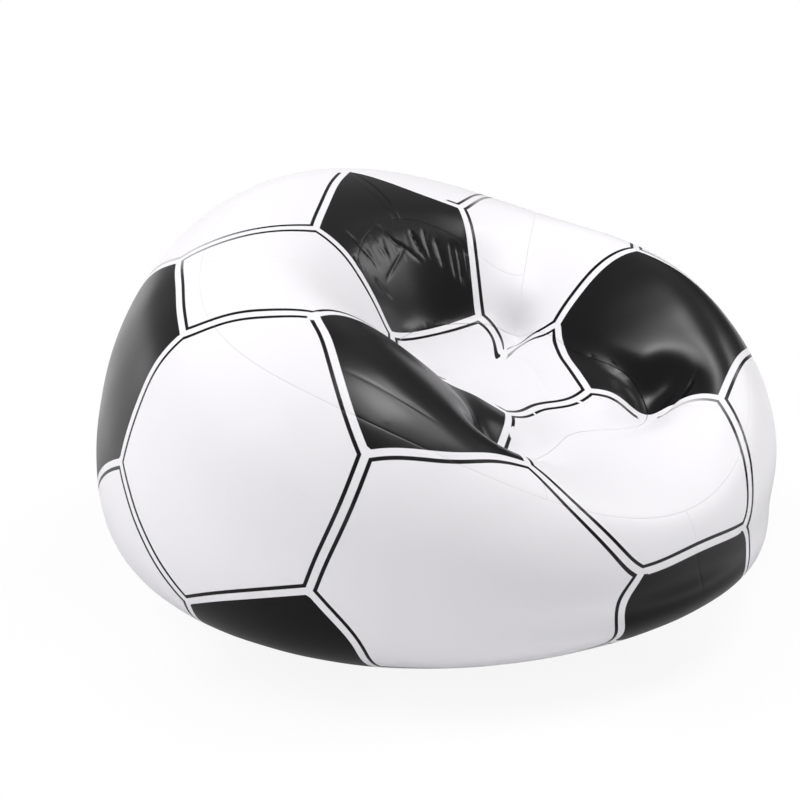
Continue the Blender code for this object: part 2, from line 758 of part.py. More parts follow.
def valve_hole(wall):
    """Cut the hole that the valve's neck passes through."""
    origin, right, up, outwards = valve_frame()
    frame = Matrix((right, up, outwards)).transposed().to_4x4()
    frame.translation = origin
    radius = NECK_BORE_RADIUS + NECK_WALL + FIT_GAP
    cut_with(wall, turned_cutter("wall_hole", radius, NECK_HEIGHT, frame, VALVE_STEPS))


def column_at(heading):
    """Return the grid column at a heading."""
    return round(heading / COLUMN_STEP)


def build_panels(grid, film):
    """Build the ten panels of the air chamber."""
    left_corner, right_corner = (column_at(heading) for heading in BACK_CORNER_HEADINGS)
    right_front, left_front = (column_at(heading) for heading in FRONT_CORNER_HEADINGS)
    back = column_at(BACK)
    front = column_at(BACK + 180.0)
    inner = (SEAT_SEAM_ROW, RIM_ROW)
    upper = (BACKREST_SEAM_ROW, RIM_ROW)
    outer = (RIM_ROW, FLOOR_ROW)
    seat_panel(grid, film)
    base_panel(grid, film)
    welded_panel("backrest_panel", grid, (SEAT_SEAM_ROW, BACKREST_SEAM_ROW),
                 (left_corner, right_corner), film)
    welded_panel("left_back_panel", grid, upper, (left_corner, back), film)
    welded_panel("right_back_panel", grid, upper, (back, right_corner), film)
    welded_panel("left_arm_panel", grid, inner, (left_front, left_corner + COLUMNS), film)
    welded_panel("right_arm_panel", grid, inner, (right_corner, right_front), film)
    welded_panel("front_panel", grid, inner, (right_front, left_front), film)
    left_wall = welded_panel("left_outer_wall", grid, outer, (front - COLUMNS, back), film)
    welded_panel("right_outer_wall", grid, outer, (back, front), film)
    valve_hole(left_wall)


def build_webs(grid, film):
    """Build the four webs, one under each side of the seat, clear of its corners."""
    left_corner, right_corner = (column_at(heading) for heading in BACK_CORNER_HEADINGS)
    right_front, left_front = (column_at(heading) for heading in FRONT_CORNER_HEADINGS)
    sides = {"rear_web": (left_corner, right_corner),
             "right_web": (right_corner, right_front),
             "front_web": (right_front, left_front),
             "left_web": (left_front, left_corner + COLUMNS)}
    for name, (start, end) in sides.items():
        third = (end - start) // 3
        holes = (start + third, end - third)
        seat_web(name, grid, (start + 1, end - 1), holes, film)


def build_valve():
    """Build the valve's pieces."""
    moulded = vinyl("valve_vinyl", VALVE_WHITE, 0.35)
    clear = vinyl("flap_vinyl", FLAP_CLEAR, 0.3)
    valve_patch(moulded)
    valve_base(moulded)
    valve_stopper(moulded)
    valve_cap(moulded)
    valve_flap(clear)
    flap_clip(moulded)


def main():
    """Build the chair."""
    clear_scene()
    grid = skin_grid()
    build_panels(grid, vinyl("chair_vinyl", WHITE_VINYL, 0.22))
    build_webs(grid, vinyl("web_vinyl", CLEAR_VINYL, 0.4))
    build_valve()


if __name__ == "__main__":
    main()
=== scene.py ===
"""Looks of the inflatable ball armchair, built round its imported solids.

The file is laid out as an add-on and run as a script. The chair is an air
chamber welded from printed vinyl film. All its panels are cut from one skin,
a surface of two angles. The fall is 0 in the middle of the seat and grows over
the rim and down the outside to the floor. The heading goes round the chair: 90
is the middle of the back, 270 the middle of the front, and the sitter's left
is at 0. Lengths are in metres and angles in degrees.
"""
import functools
import math

import bmesh
import bpy
import numpy as np
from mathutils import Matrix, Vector


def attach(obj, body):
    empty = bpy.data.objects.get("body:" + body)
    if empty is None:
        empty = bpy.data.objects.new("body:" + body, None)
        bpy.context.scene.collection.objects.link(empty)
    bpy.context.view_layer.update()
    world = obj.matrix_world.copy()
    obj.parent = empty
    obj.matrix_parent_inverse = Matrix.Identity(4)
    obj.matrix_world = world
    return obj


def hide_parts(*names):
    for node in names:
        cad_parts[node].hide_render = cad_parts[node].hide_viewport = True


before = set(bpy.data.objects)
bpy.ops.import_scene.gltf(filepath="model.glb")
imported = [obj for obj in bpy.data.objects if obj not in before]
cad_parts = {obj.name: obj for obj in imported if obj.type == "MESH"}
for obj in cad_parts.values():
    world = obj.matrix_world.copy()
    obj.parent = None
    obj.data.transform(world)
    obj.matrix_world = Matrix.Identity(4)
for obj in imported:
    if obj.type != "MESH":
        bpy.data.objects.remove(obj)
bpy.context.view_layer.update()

bl_info = {
    "name": "Inflatable Ball Armchair",
    "version": (1, 0, 0),
    "blender": (4, 5, 0),
    "location": "View3D > Sidebar > Armchair",
    "description": "Builds the film panels, webs, valve and stage of an inflatable armchair",
    "category": "Object",
}

# The skin's four sections, from the back's heading to the front's in equal steps: the
# falls of their points, radii as shares of half the width, heights, and the rings' centres
BACK, FRONT = 90.0, 270.0
SECTION_STEP = 60.0
SECTION_FALLS = np.array([0.0, 14.0, 26.0, 38.0, 50.0, 62.0, 76.0, 90.0, 98.0, 105.0])
FLOOR_FALL = SECTION_FALLS[-1]
POINTS_PAST_MIDDLE = 3
RADIUS_SHARES = np.array((
    (0.0, 0.17, 0.32, 0.43, 0.59, 0.82, 1.00, 1.08, 1.02, 0.82),
    (0.0, 0.17, 0.33, 0.49, 0.68, 0.90, 1.00, 1.07, 1.03, 0.86),
    (0.0, 0.15, 0.31, 0.49, 0.71, 0.90, 0.95, 0.95, 0.88, 0.74),
    (0.0, 0.15, 0.31, 0.49, 0.65, 0.73, 0.85, 0.93, 0.87, 0.74))).T
HEIGHT_SHARES = np.array((
    (0.56, 0.60, 0.69, 0.85, 0.95, 0.99, 0.84, 0.53, 0.25, 0.03),
    (0.56, 0.59, 0.67, 0.79, 0.85, 0.80, 0.68, 0.43, 0.20, 0.03),
    (0.56, 0.57, 0.61, 0.67, 0.67, 0.51, 0.34, 0.17, 0.08, 0.03),
    (0.56, 0.53, 0.49, 0.45, 0.39, 0.31, 0.24, 0.16, 0.09, 0.03))).T
RING_CENTRE_SHARES = np.array(
    (-0.23, -0.24, -0.25, -0.26, -0.28, -0.26, -0.16, -0.07, -0.01, 0.04))[:, None]
# How far the rings turn against the sections, at the middle and added at the floor
BACK_DRIFT, BACK_DRIFT_ADDED = -2.0, -11.0
SIDE_DRIFT, SIDE_DRIFT_ADDED = 9.0, -13.0

# The step for slopes, and the grid on which the overall size is measured
NUDGE = 0.5
FIT_FALLS, FIT_HEADING_STEP = 106, 2.5

# The seat's seam, its four corners, and how far the webs pull it in
SEAT_SEAM_FALL = 22.0
FRONT_CORNER_FALL_ADDED, FRONT_CORNER_SPREAD = 13.0, 22.0
BACK_CORNERS, FRONT_CORNERS = (37.5, 142.5), (240.0, 300.0)
SEAM_PULL, CORNER_PULL = 0.010, 0.030
SEAM_PULL_SPREAD, CORNER_PULL_SPREAD = 5.0, 11.0

# The scoops beside the front corners, the backrest's seam and the rim's
SCOOP_FALL, SCOOP_HEADINGS, SCOOP_DEPTH = 39.5, (231.5, 308.5), 0.024
SCOOP_FALL_SPREAD, SCOOP_HEADING_SPREAD = 4.2, 6.5
BACKREST_SEAM_FALL, BACKREST_SEAM_DIP = 43.0, 11.0
BACKREST_DIP_HEADINGS, BACKREST_DIP_SPREAD = (42.5, 137.5), 28.0
RIM_FALL, RIM_FALL_RISE = 57.0, 5.0

# Rows and columns of the panels' grids. Rows crowd towards the edges
SEAT_GRID, SEAT_CROWDING = (84, 400), 0.35
BACKREST_GRID, BACK_GRID = (110, 280), (150, 190)
ARM_GRID, FRONT_GRID, WALL_GRID = (180, 240), (160, 230), (126, 336)
BASE_GRID, BASE_CROWDING, BASE_FLAT_SHARE = (34, 360), 0.8, 0.88
EDGE_CROWDING = 0.6
FILM_SHARP_ANGLE, VALVE_SHARP_ANGLE = 40.0, 30.0

# A sheet's edge: angles round the lip, and shares of the margin past it
LIP_ANGLES = np.radians((30.0, 60.0, 90.0))
MARGIN_SHARES = (0.5, 1.0)
EDGE_STEPS = len(LIP_ANGLES) + len(MARGIN_SHARES)
PRINT_FIELDS = ("pentagon_edge", "hexagon_edge", "outline_gap", "outline_fade")

# The webs: name, first and last heading, and the headings of their air holes
WEB_COLUMNS, WEB_STEP = 150, 7.5
WEB_TOP_SET_BACK, WEB_FOOT, WEB_FOOT_SHARE = 0.003, 0.014, 0.8
AIR_HOLE_RADIUS = 0.020
WEBS = (("rear_web", 45.0, 135.0, (67.5, 112.5)), ("right_web", 150.0, 232.5, (172.5, 210.0)),
        ("front_web", 247.5, 292.5, (255.0, 285.0)), ("left_web", 307.5, 390.0, (330.0, 367.5)))

# The valve: where it sits in the wall, how flat the wall is round it, and its pieces
VALVE_HEADING, VALVE_WALL_SHARE, WALL_CROWDING = 63.75, 0.75, 1.3
VALVE_DENT = 0.006
VALVE_FLAT_RADIUS, VALVE_FADE_RADIUS = 0.070, 0.130
FLANGE_RADIUS, FLANGE_THICKNESS = 0.030, 0.0012
PATCH_RADIUS, PATCH_THICKNESS = 0.034, 0.0006
NECK_BORE_RADIUS, NECK_WALL, NECK_HEIGHT = 0.015, 0.002, 0.005
MOULDED_WALL = 0.0015
STOPPER_DEPTH, STOPPER_TAPER, STOPPER_LIP = 0.007, 0.001, 0.0015
STOPPER_HINGE_REACH, STRAP_WIDTH = 0.024, 0.010
CAP_TUBE_BORE_RADIUS, CAP_TUBE_WALL = 0.006, 0.0012
CAP_RADIUS, CAP_PLUG_DEPTH, CAP_PLUG_TAPER = 0.0095, 0.006, 0.001
CAP_DISH_RADIUS, CAP_DISH_DEPTH = 0.006, 0.0005
PULL_TAB_LENGTH, PULL_TAB_WIDTH = 0.006, 0.007
FLAP_RADIUS, FLAP_THICKNESS, FLAP_HINGE_REACH = 0.009, 0.0006, 0.010
FLAP_TAB_WIDTH, FLAP_CLIP_LENGTH = 0.006, 0.002
VALVE_TURNS, EDGE_ROUNDING = 96, 0.0003
STRAP_CORNER_POINTS, STRAP_CORNER_SHARE = 9, 6


class ChairSizes(bpy.types.PropertyGroup):
    """Sizes of the chair and of its film."""

    width: bpy.props.FloatProperty(
        name="Width", description="Overall width", default=1.08, unit="LENGTH")
    depth: bpy.props.FloatProperty(
        name="Depth", description="Overall depth", default=1.10, unit="LENGTH")
    height: bpy.props.FloatProperty(
        name="Height", description="Overall height", default=0.66, unit="LENGTH")
    film: bpy.props.FloatProperty(
        name="Film", description="Thickness of the vinyl film", default=0.0004, unit="LENGTH")
    gap: bpy.props.FloatProperty(
        name="Gap", description="Gap between neighbouring pieces", default=0.0002, unit="LENGTH")
    margin: bpy.props.FloatProperty(
        name="Weld margin", description="Film turned inwards at a weld", default=0.008,
        unit="LENGTH")
    lip: bpy.props.FloatProperty(
        name="Weld lip", description="Radius of the film where it turns into a weld",
        default=0.0003, unit="LENGTH")
    groove: bpy.props.FloatProperty(
        name="Groove", description="How deep a weld draws the film in", default=0.0002,
        unit="LENGTH")


class ChairFinish(bpy.types.PropertyGroup):
    """Colours of the film and the widths of its print."""

    white: bpy.props.FloatVectorProperty(
        name="White", description="Colour of the bare film", subtype="COLOR",
        default=(0.805, 0.790, 0.815), min=0.0, max=1.0)
    black: bpy.props.FloatVectorProperty(
        name="Black", description="Colour of the print", subtype="COLOR",
        default=(0.0036, 0.0030, 0.0038), min=0.0, max=1.0)
    clear: bpy.props.FloatVectorProperty(
        name="Clear", description="Colour of the unprinted web film", subtype="COLOR",
        default=(0.70, 0.72, 0.74), min=0.0, max=1.0)
    band: bpy.props.FloatProperty(
        name="Band", description="White left between a patch's edge and its print",
        default=0.0053, unit="LENGTH")
    line: bpy.props.FloatProperty(
        name="Line", description="Width of the printed outline", default=0.0056, unit="LENGTH")


class ChairStage(bpy.types.PropertyGroup):
    """Floor and light."""

    floor: bpy.props.FloatVectorProperty(
        name="Floor", description="Colour of the floor", subtype="COLOR",
        default=(0.86, 0.86, 0.87), min=0.0, max=1.0)
    fill: bpy.props.FloatProperty(
        name="Fill", description="Strength of the even light from all round", default=0.375,
        min=0.0)
    ceiling: bpy.props.FloatProperty(
        name="Ceiling", description="Brightness of the studio's upper part in reflections",
        default=0.36, min=0.0)
    lamps: bpy.props.FloatProperty(
        name="Lamps", description="Brightness of all lamps, as a factor", default=1.0, min=0.0)


def sizes():
    """Return the sizes set in the scene."""
    return bpy.context.scene.chair_sizes


def finish():
    """Return the colours and print widths set in the scene."""
    return bpy.context.scene.chair_finish


def unit(vectors):
    """Scale vectors to length one."""
    return vectors / np.maximum(np.linalg.norm(vectors, axis=-1, keepdims=True), 1e-12)


def dots(first, second):
    """Return the dot products of two lists of vectors."""
    return np.einsum("...i,...i->...", first, second)


def bell(offset, spread):
    """Return exp(-(offset / spread)^2), a bell that is 1 where the offset is 0."""
    return np.exp(-(offset / spread) ** 2)


def bell_sum(fall, heading, rows):
    """Return a sum of heights, each times a bell of the fall and one of the heading."""
    total = np.zeros_like(fall)
    for at_fall, at_heading, fall_spread, heading_spread, height in rows:
        total += (height * bell(fall - at_fall, fall_spread)
                  * bell(turned_apart(heading, at_heading), heading_spread))
    return total


def belled(heading, level, added, places, spread):
    """Return a level that rises by a bell of the heading at each of the places."""
    value = np.full_like(heading, level)
    for place in places:
        value += added * bell(turned_apart(heading, place), spread)
    return value


def smooth_step(value, start, end):
    """Return 0 before start and 1 after end, with 3t^2 - 2t^3 between."""
    share = np.clip((value - start) / (end - start), 0.0, 1.0)
    return share * share * (3.0 - 2.0 * share)


def turned_apart(heading, other):
    """Return the angle between headings, from -180 to 180."""
    return (heading - other + 180.0) % 360.0 - 180.0


# The skin

def natural_spline(stations, values, places):
    """Read the natural cubic spline through the stations' values at the places.

    Its bends solve the three-term equations that keep slope and bend
    continuous, with no bend at both ends.
    """
    steps = np.diff(stations)[:, None]
    slopes = np.diff(values, axis=0) / steps
    inner = steps[1:-1, 0]
    middle = 2.0 * (steps[:-1, 0] + steps[1:, 0])
    matrix = np.diag(middle) + np.diag(inner, 1) + np.diag(inner, -1)
    bends = np.zeros_like(values)
    bends[1:-1] = np.linalg.solve(matrix, 6.0 * np.diff(slopes, axis=0))
    left = np.clip(np.searchsorted(stations, places) - 1, 0, len(stations) - 2)
    step = steps[left]
    past = places[:, None] - stations[left][:, None]
    ahead = step - past
    cubic = (bends[left] * ahead ** 3 + bends[left + 1] * past ** 3) / (6.0 * step)
    start = (values[left] / step - bends[left] * step / 6.0) * ahead
    end = (values[left + 1] / step - bends[left + 1] * step / 6.0) * past
    return cubic + start + end


def drawn_surface(fall, heading):
    """Return points of the skin before it is stretched to the overall sizes.

    Along each section, radius and height follow natural splines of the fall,
    which run on past the middle of the seat into the section opposite. Round
    each ring they are sums of cosine waves of the heading through the four
    sections. The ring is then turned by the drift and moved to its centre.
    """
    size = sizes()
    past = slice(POINTS_PAST_MIDDLE, 0, -1)
    falls = np.concatenate((-SECTION_FALLS[past], SECTION_FALLS))
    radii = np.vstack((-RADIUS_SHARES[past, ::-1], RADIUS_SHARES)) * size.width / 2
    heights = np.vstack((HEIGHT_SHARES[past, ::-1], HEIGHT_SHARES)) * size.height
    centres = np.vstack((RING_CENTRE_SHARES[past], RING_CENTRE_SHARES)) * size.depth / 2
    numbers = np.arange(4)
    mix = np.linalg.inv(np.cos(np.outer(np.radians(SECTION_STEP) * numbers, numbers))).T
    turn = np.radians(heading - BACK)
    waves = np.cos(np.outer(turn, numbers))
    radius = (natural_spline(falls, radii, fall) @ mix * waves).sum(axis=1)
    height = (natural_spline(falls, heights, fall) @ mix * waves).sum(axis=1)
    centre = natural_spline(falls, centres, fall)[:, 0]
    grown = (fall / FLOOR_FALL) ** 2
    drift = ((BACK_DRIFT + BACK_DRIFT_ADDED * grown) * np.sin(turn)
             + (SIDE_DRIFT + SIDE_DRIFT_ADDED * grown) * np.sin(2.0 * turn))
    around = np.radians(heading + drift)
    return np.column_stack((radius * np.cos(around), radius * np.sin(around) + centre, height))


@functools.cache
def overall_fit(width, depth, height):
    """Return the scale and shift that bring the drawn skin to the overall sizes."""
    falls, headings = np.meshgrid(np.linspace(0.0, FLOOR_FALL, FIT_FALLS),
                                  np.arange(0.0, 360.0, FIT_HEADING_STEP))
    points = drawn_surface(falls.ravel(), headings.ravel())
    low, high = points.min(axis=0), points.max(axis=0)
    low[2] = 0.0
    middle = (high + low) / 2
    middle[2] = 0.0
    return np.array((width, depth, height)) / (high - low), middle


def fitted_surface(fall, heading):
    """Return points of the blown-up skin without the webs' pull."""
    size = sizes()
    scale, middle = overall_fit(size.width, size.depth, size.height)
    return (drawn_surface(fall, heading) - middle) * scale


def tangents(surface, fall, heading):
    """Return how a surface's points move per degree of fall and per degree of heading."""
    down = surface(fall + NUDGE, heading) - surface(fall - NUDGE, heading)
    around = surface(fall, heading + NUDGE) - surface(fall, heading - NUDGE)
    return down / (2 * NUDGE), around / (2 * NUDGE)


def outward_normals(surface, fall, heading):
    """Return a surface's outward normals."""
    return unit(np.cross(*tangents(surface, fall, heading)))


def seat_seam_fall(heading):
    """Return the fall of the seat's seam: a circle with a bell added at both front corners."""
    return belled(heading, SEAT_SEAM_FALL, FRONT_CORNER_FALL_ADDED, FRONT_CORNERS,
                  FRONT_CORNER_SPREAD)


def backrest_seam_fall(heading):
    """Return the fall of the backrest's seam: a circle less a bell at both ends."""
    return belled(heading, BACKREST_SEAM_FALL, -BACKREST_SEAM_DIP, BACKREST_DIP_HEADINGS,
                  BACKREST_DIP_SPREAD)


def rim_fall(heading):
    """Return the fall of the rim's seam, a cosine wave of the heading."""
    return RIM_FALL + RIM_FALL_RISE * np.cos(np.radians(heading - BACK))


def floor_fall(heading):
    """Return the fall of the seam round the base."""
    return np.full_like(heading, FLOOR_FALL)


def pulled_surface(fall, heading):
    """Return points of the skin moved in along the normal by the webs' pull.

    The pull is a bell across the seat's seam, deeper by a bell at each corner.
    A scoop, a bell of the fall times one of the heading, lies beside each front
    corner, on the arm.
    """
    depth = belled(heading, SEAM_PULL, CORNER_PULL, BACK_CORNERS + FRONT_CORNERS,
                   CORNER_PULL_SPREAD)
    depth *= bell(fall - seat_seam_fall(heading), SEAM_PULL_SPREAD)
    for scoop in SCOOP_HEADINGS:
        depth += (SCOOP_DEPTH * bell(fall - SCOOP_FALL, SCOOP_FALL_SPREAD)
                  * bell(turned_apart(heading, scoop), SCOOP_HEADING_SPREAD))
    normals = outward_normals(fitted_surface, fall, heading)
    return fitted_surface(fall, heading) - normals * depth[:, None]


@functools.cache
def valve_frame():
    """Return the valve's origin and axes: right, up the wall, and outwards."""
    heading = np.array([VALVE_HEADING])
    share = 1.0 - (1.0 - VALVE_WALL_SHARE) ** WALL_CROWDING
    rim = rim_fall(heading)
    fall = rim + share * (FLOOR_FALL - rim)
    outwards = outward_normals(pulled_surface, fall, heading)[0]
    origin = pulled_surface(fall, heading)[0] - outwards * VALVE_DENT
    right = unit(np.cross((0.0, 0.0, 1.0), outwards))
    return origin, right, np.cross(outwards, right), outwards


def skin(fall, heading):
    """Return points of the skin, flattened round the valve.

    A point's height over the valve's plane is taken away by a share that fades
    with its distance from the valve's axis.
    """
    points = pulled_surface(fall, heading)
    origin, _, _, outwards = valve_frame()
    offset = points - origin
    height = offset @ outwards
    away = np.linalg.norm(offset - height[:, None] * outwards, axis=1)
    near = np.linalg.norm(offset, axis=1) < 2.0 * VALVE_FADE_RADIUS
    share = near * (1.0 - smooth_step(away, VALVE_FLAT_RADIUS, VALVE_FADE_RADIUS))
    return points - (share * height)[:, None] * outwards


# Relief of the film: grooves at the welds, creases, puckers and a slight unevenness

# Creases given one by one: fall and heading of both ends, depth, width, bow to one side
CREASES = (
    (13.5, 38, 16.5, 283, 0.0016, 0.007, 0.012), (44, 311, 36, 297, 0.0030, 0.004, 0.004),
    (51.3, 199, 49.6, 220, 0.0008, 0.0026, 0), (57, 87, 41, 87.5, 0.0011, 0.0020, 0.003),
    (43.5, 112, 35, 108, 0.0012, 0.0034, 0), (42, 98.5, 35.5, 92, 0.0016, 0.0030, 0),
    (40.5, 104, 35, 99, 0.0008, 0.0036, 0), (37.5, 94.5, 33, 84, 0.0015, 0.0032, 0.002),
    (39, 85, 34, 82.5, 0.0034, 0.0034, 0), (36, 90, 31.5, 106, 0.0015, 0.0024, 0),
    (33, 112, 28.5, 106.5, 0.0011, 0.0030, 0), (39.5, 79.5, 33.5, 79.5, 0.0018, 0.0036, 0),
    (37.5, 75.5, 32, 74.5, 0.0016, 0.0034, 0.001), (37, 69.5, 29.5, 69, 0.0022, 0.0034, 0),
    (37, 66.5, 28.5, 66, 0.0028, 0.0036, -0.001), (36.5, 63.5, 30, 63, 0.0018, 0.0030, 0),
    (60, 199, 62, 205, 0.0007, 0.0030, 0), (61.5, 199.5, 63.5, 208, 0.0009, 0.0030, 0.001),
    (64, 199.5, 65.5, 206.5, 0.0010, 0.0032, 0.001), (65.6, 199, 66.8, 205, 0.0008, 0.0028, 0),
    (67, 200, 67.8, 206, 0.0006, 0.0028, 0),
)
# How a crease's depth falls off across it and fades at its ends, the seed of the short
# ones, and the unevenness: its height, number of waves, their lengths and their phases
CREASE_POWER = 1.4
CREASE_FADE_IN, CREASE_FADE_OUT = (-0.05, 0.25), (0.7, 1.05)
PUCKER_SEED = 11
FOLD_FALL = 36.0
GROOVE_WIDTH_OVER_DEPTH = 12.0
UNEVEN_HEIGHT, UNEVEN_WAVES = 0.00022, 7
UNEVEN_LENGTHS, UNEVEN_TURN = (0.07, 0.17), 6.28

# Where the film stands prouder or deeper: fall and heading, the spread along both, height
SWELLS = (
    (34, 92, 9, 32, 0.006), (22, 95, 2.6, 20, -0.002), (26, 38, 6, 10, 0.010),
)


def crease_relief(points, creases):
    """Return how far creases lower the points.

    Each crease is a line between two points in space, drawn on the skin. Across
    it the depth is exp(-|offset / width|^power), with the offset bowed by a
    parabola. Along it the depth fades in and out over a third of its length.
    """
    lowered = np.zeros(len(points))
    for start, end, normal, depth, width, bow in creases:
        length = np.linalg.norm(end - start)
        middle = (start + end) / 2
        near = np.flatnonzero(np.linalg.norm(points - middle, axis=1) < 0.6 * length + 6 * width)
        along = unit(end - start)
        across = unit(np.cross(normal, along))
        offset = points[near] - start
        share = offset @ along / length
        aside = offset @ across - bow * 4.0 * share * (1.0 - share)
        fade = smooth_step(share, *CREASE_FADE_IN) * (1.0 - smooth_step(share, *CREASE_FADE_OUT))
        lowered[near] += depth * fade * np.exp(-np.abs(aside / width) ** CREASE_POWER)
    return lowered


def crease_on_skin(fall, heading, end_fall, end_heading, depth, width, bow):
    """Return a crease's ends, its normal and its sizes."""
    falls = np.array([fall, end_fall, (fall + end_fall) / 2])
    mid_heading = heading + turned_apart(end_heading, heading) / 2
    headings = np.array([heading, end_heading, mid_heading])
    points = skin(falls, headings)
    normal = outward_normals(skin, falls, headings)[2]
    return points[0], points[1], normal, depth, width, bow


def fold_fall(heading):
    """Return the fall of the row of folds across the backrest."""
    return np.full_like(heading, FOLD_FALL)


def seam_puckers():
    """Return short creases that run off the seams, drawn from a fixed seed.

    Each row gives a seam, its stretch of headings, how many puckers it has, the
    longest in degrees of fall, and the deepest.
    """
    draw = np.random.default_rng(PUCKER_SEED)
    rows = ((fold_fall, 56.0, 118.0, 30, 7.0, 0.0010),
            (seat_seam_fall, 60.0, 120.0, 12, 3.0, 0.0006),
            (seat_seam_fall, 150.0, 232.0, 12, 3.0, 0.0006),
            (seat_seam_fall, -52.0, 30.0, 12, 3.0, 0.0006),
            (seat_seam_fall, 246.0, 294.0, 14, 3.5, 0.0006),
            (rim_fall, 0.0, 360.0, 50, 2.2, 0.0003))
    creases = []
    for seam, first, last, count, longest, deepest in rows:
        headings = first + (last - first) * (np.arange(count) + draw.random(count)) / count
        lengths = longest * draw.uniform(0.35, 1.0, count) * draw.choice((-1.0, 1.0), count)
        leans = draw.uniform(-2.0, 2.0, count)
        depths = deepest * draw.uniform(0.2, 1.0, count)
        widths = draw.uniform(0.0028, 0.0052, count)
        starts = seam(headings) - draw.uniform(0.2, 0.8, count) * lengths
        for values in zip(starts, headings, starts + lengths, headings + leans, depths, widths):
            creases.append(crease_on_skin(*values, 0.0))
    return creases


@functools.cache
def all_creases():
    """Return every crease of the film."""
    return [crease_on_skin(*row) for row in CREASES] + seam_puckers()


def seam_lines():
    """Return the seams along rings, then those down the skin, with their stretches."""
    rings = ((seat_seam_fall, 0.0, 360.0), (backrest_seam_fall, *BACK_CORNERS),
             (rim_fall, 0.0, 360.0))
    down = [(corner, seat_seam_fall, rim_fall) for corner in BACK_CORNERS + FRONT_CORNERS]
    down += [(BACK, backrest_seam_fall, floor_fall), (FRONT, rim_fall, floor_fall)]
    return rings, down


def groove_relief(fall, heading, per_fall, per_heading):
    """Return how far the welds lower the film: exp(-distance / width) by the nearest weld."""
    size = sizes()
    width = GROOVE_WIDTH_OVER_DEPTH * size.groove
    rings, down = seam_lines()
    share = np.zeros_like(fall)
    for seam, first, last in rings:
        away = np.abs(fall - seam(heading)) * per_fall
        half = (last - first) / 2
        beyond = np.maximum(np.abs(turned_apart(heading, first + half)) - half, 0.0) * per_heading
        share = np.maximum(share, np.exp(-np.hypot(away, beyond) / width))
    for column, first, last in down:
        away = np.abs(turned_apart(heading, column)) * per_heading
        place = np.full_like(heading, column)
        beyond = np.maximum(first(place) - fall, fall - last(place)).clip(0.0) * per_fall
        share = np.maximum(share, np.exp(-np.hypot(away, beyond) / width))
    return size.groove * share


def uneven_relief(points):
    """Return a slight unevenness: sines along a few directions, a hand's breadth apart."""
    draw = np.random.default_rng(PUCKER_SEED)
    relief = np.zeros(len(points))
    for _ in range(UNEVEN_WAVES):
        direction = unit(draw.normal(size=3))
        length = draw.uniform(*UNEVEN_LENGTHS)
        relief += np.sin(points @ direction * 2 * np.pi / length + draw.uniform(0, UNEVEN_TURN))
    return UNEVEN_HEIGHT * relief / 2


def detailed_skin(fall, heading):
    """Return points of the skin with all its relief, and the outward normals below it."""
    points = skin(fall, heading)
    down, around = tangents(skin, fall, heading)
    normals = unit(np.cross(down, around))
    per_fall = np.linalg.norm(down, axis=1)
    per_heading = np.linalg.norm(around, axis=1)
    lowered = groove_relief(fall, heading, per_fall, per_heading)
    lowered += crease_relief(points, all_creases())
    lowered += uneven_relief(points) - bell_sum(fall, heading, SWELLS)
    return points - normals * lowered[:, None], normals


def detailed_grid(falls, headings):
    """Return the detailed skin's points on a grid and its inward normals."""
    points, normals = detailed_skin(falls.ravel(), headings.ravel())
    return points.reshape(*falls.shape, 3), -normals.reshape(*falls.shape, 3)


# The print: pentagons and hexagons of a ball, laid on the skin

# Where the print has crept along the film: fall and heading of the place, how far
# it spreads along both, and how far the pattern's own fall and heading run ahead
PRINT_CREEP = (
    (53, 223, 6, 11, -1.8, 0), (97, 224, 9, 15, 0, 7), (97, 242, 8, 18, -8, 0),
    (90, 255, 14, 14, 0, -2.6), (60, 128, 13, 18, 0, -2.8), (18, 268, 9, 20, 3.2, 0),
    (44, 119, 13, 13, 0.3, -2.4), (59, 86, 9, 10, -0.5, 3.2), (41, 61, 12, 10, 0.7, 1.8),
    (56.5, 168, 6, 12, 3, 0), (47, 182, 6, 7, -0.6, 1.2), (46.5, 238, 7, 8, 0.4, -1.3),
    (32, 3, 20, 22, 0, -5.5), (34.5, 300, 5, 8, 0, 3.4), (58, 328, 8, 14, -1.2, 0),
    (67, 256, 9, 12, -3.2, 0), (68, 287, 10, 12, -3.6, -1.6), (65, 138.5, 6, 9, -1.3, 0),
    (24, 6, 6, 8, -0.8, -1), (88, 282, 12, 12, -6, 5), (93, 256, 9, 12, -3, -2),
    (12, 40, 10, 13, 8.5, 0),
)

# Where the outlines have a gap, and where they are faint: fall and heading, the spread
# along both, and the share of the print that is missing
PRINT_GAPS = (
    (24, 221, 8, 18, 1), (20, 204, 3, 7, 1), (55.5, 80, 4.5, 8, 1), (50.3, 69, 3, 6.5, 1),
    (61, 82, 4, 13, 1), (47.4, 182.5, 1.8, 2.2, 1), (20.3, 258.3, 1.6, 1, 1),
    (22.2, 289.8, 1.6, 1, 1), (35, 298, 2.2, 2.6, 1), (12.5, 38.5, 2.4, 4.5, 1),
    (10, 33, 2.2, 3.5, 1), (29.5, 242, 1.4, 2, 1),
)
PRINT_FADES = (
    (66, 134, 7, 6, 0.85), (50, 51, 4, 6, 0.6), (51, 350, 4, 9, 0.6), (41, 300, 5, 4, 0.75),
    (14, 29, 4, 6, 0.5),
)


# The square of the least slope of the print over the film, in radians per metre
LEAST_SLOPE = 0.25


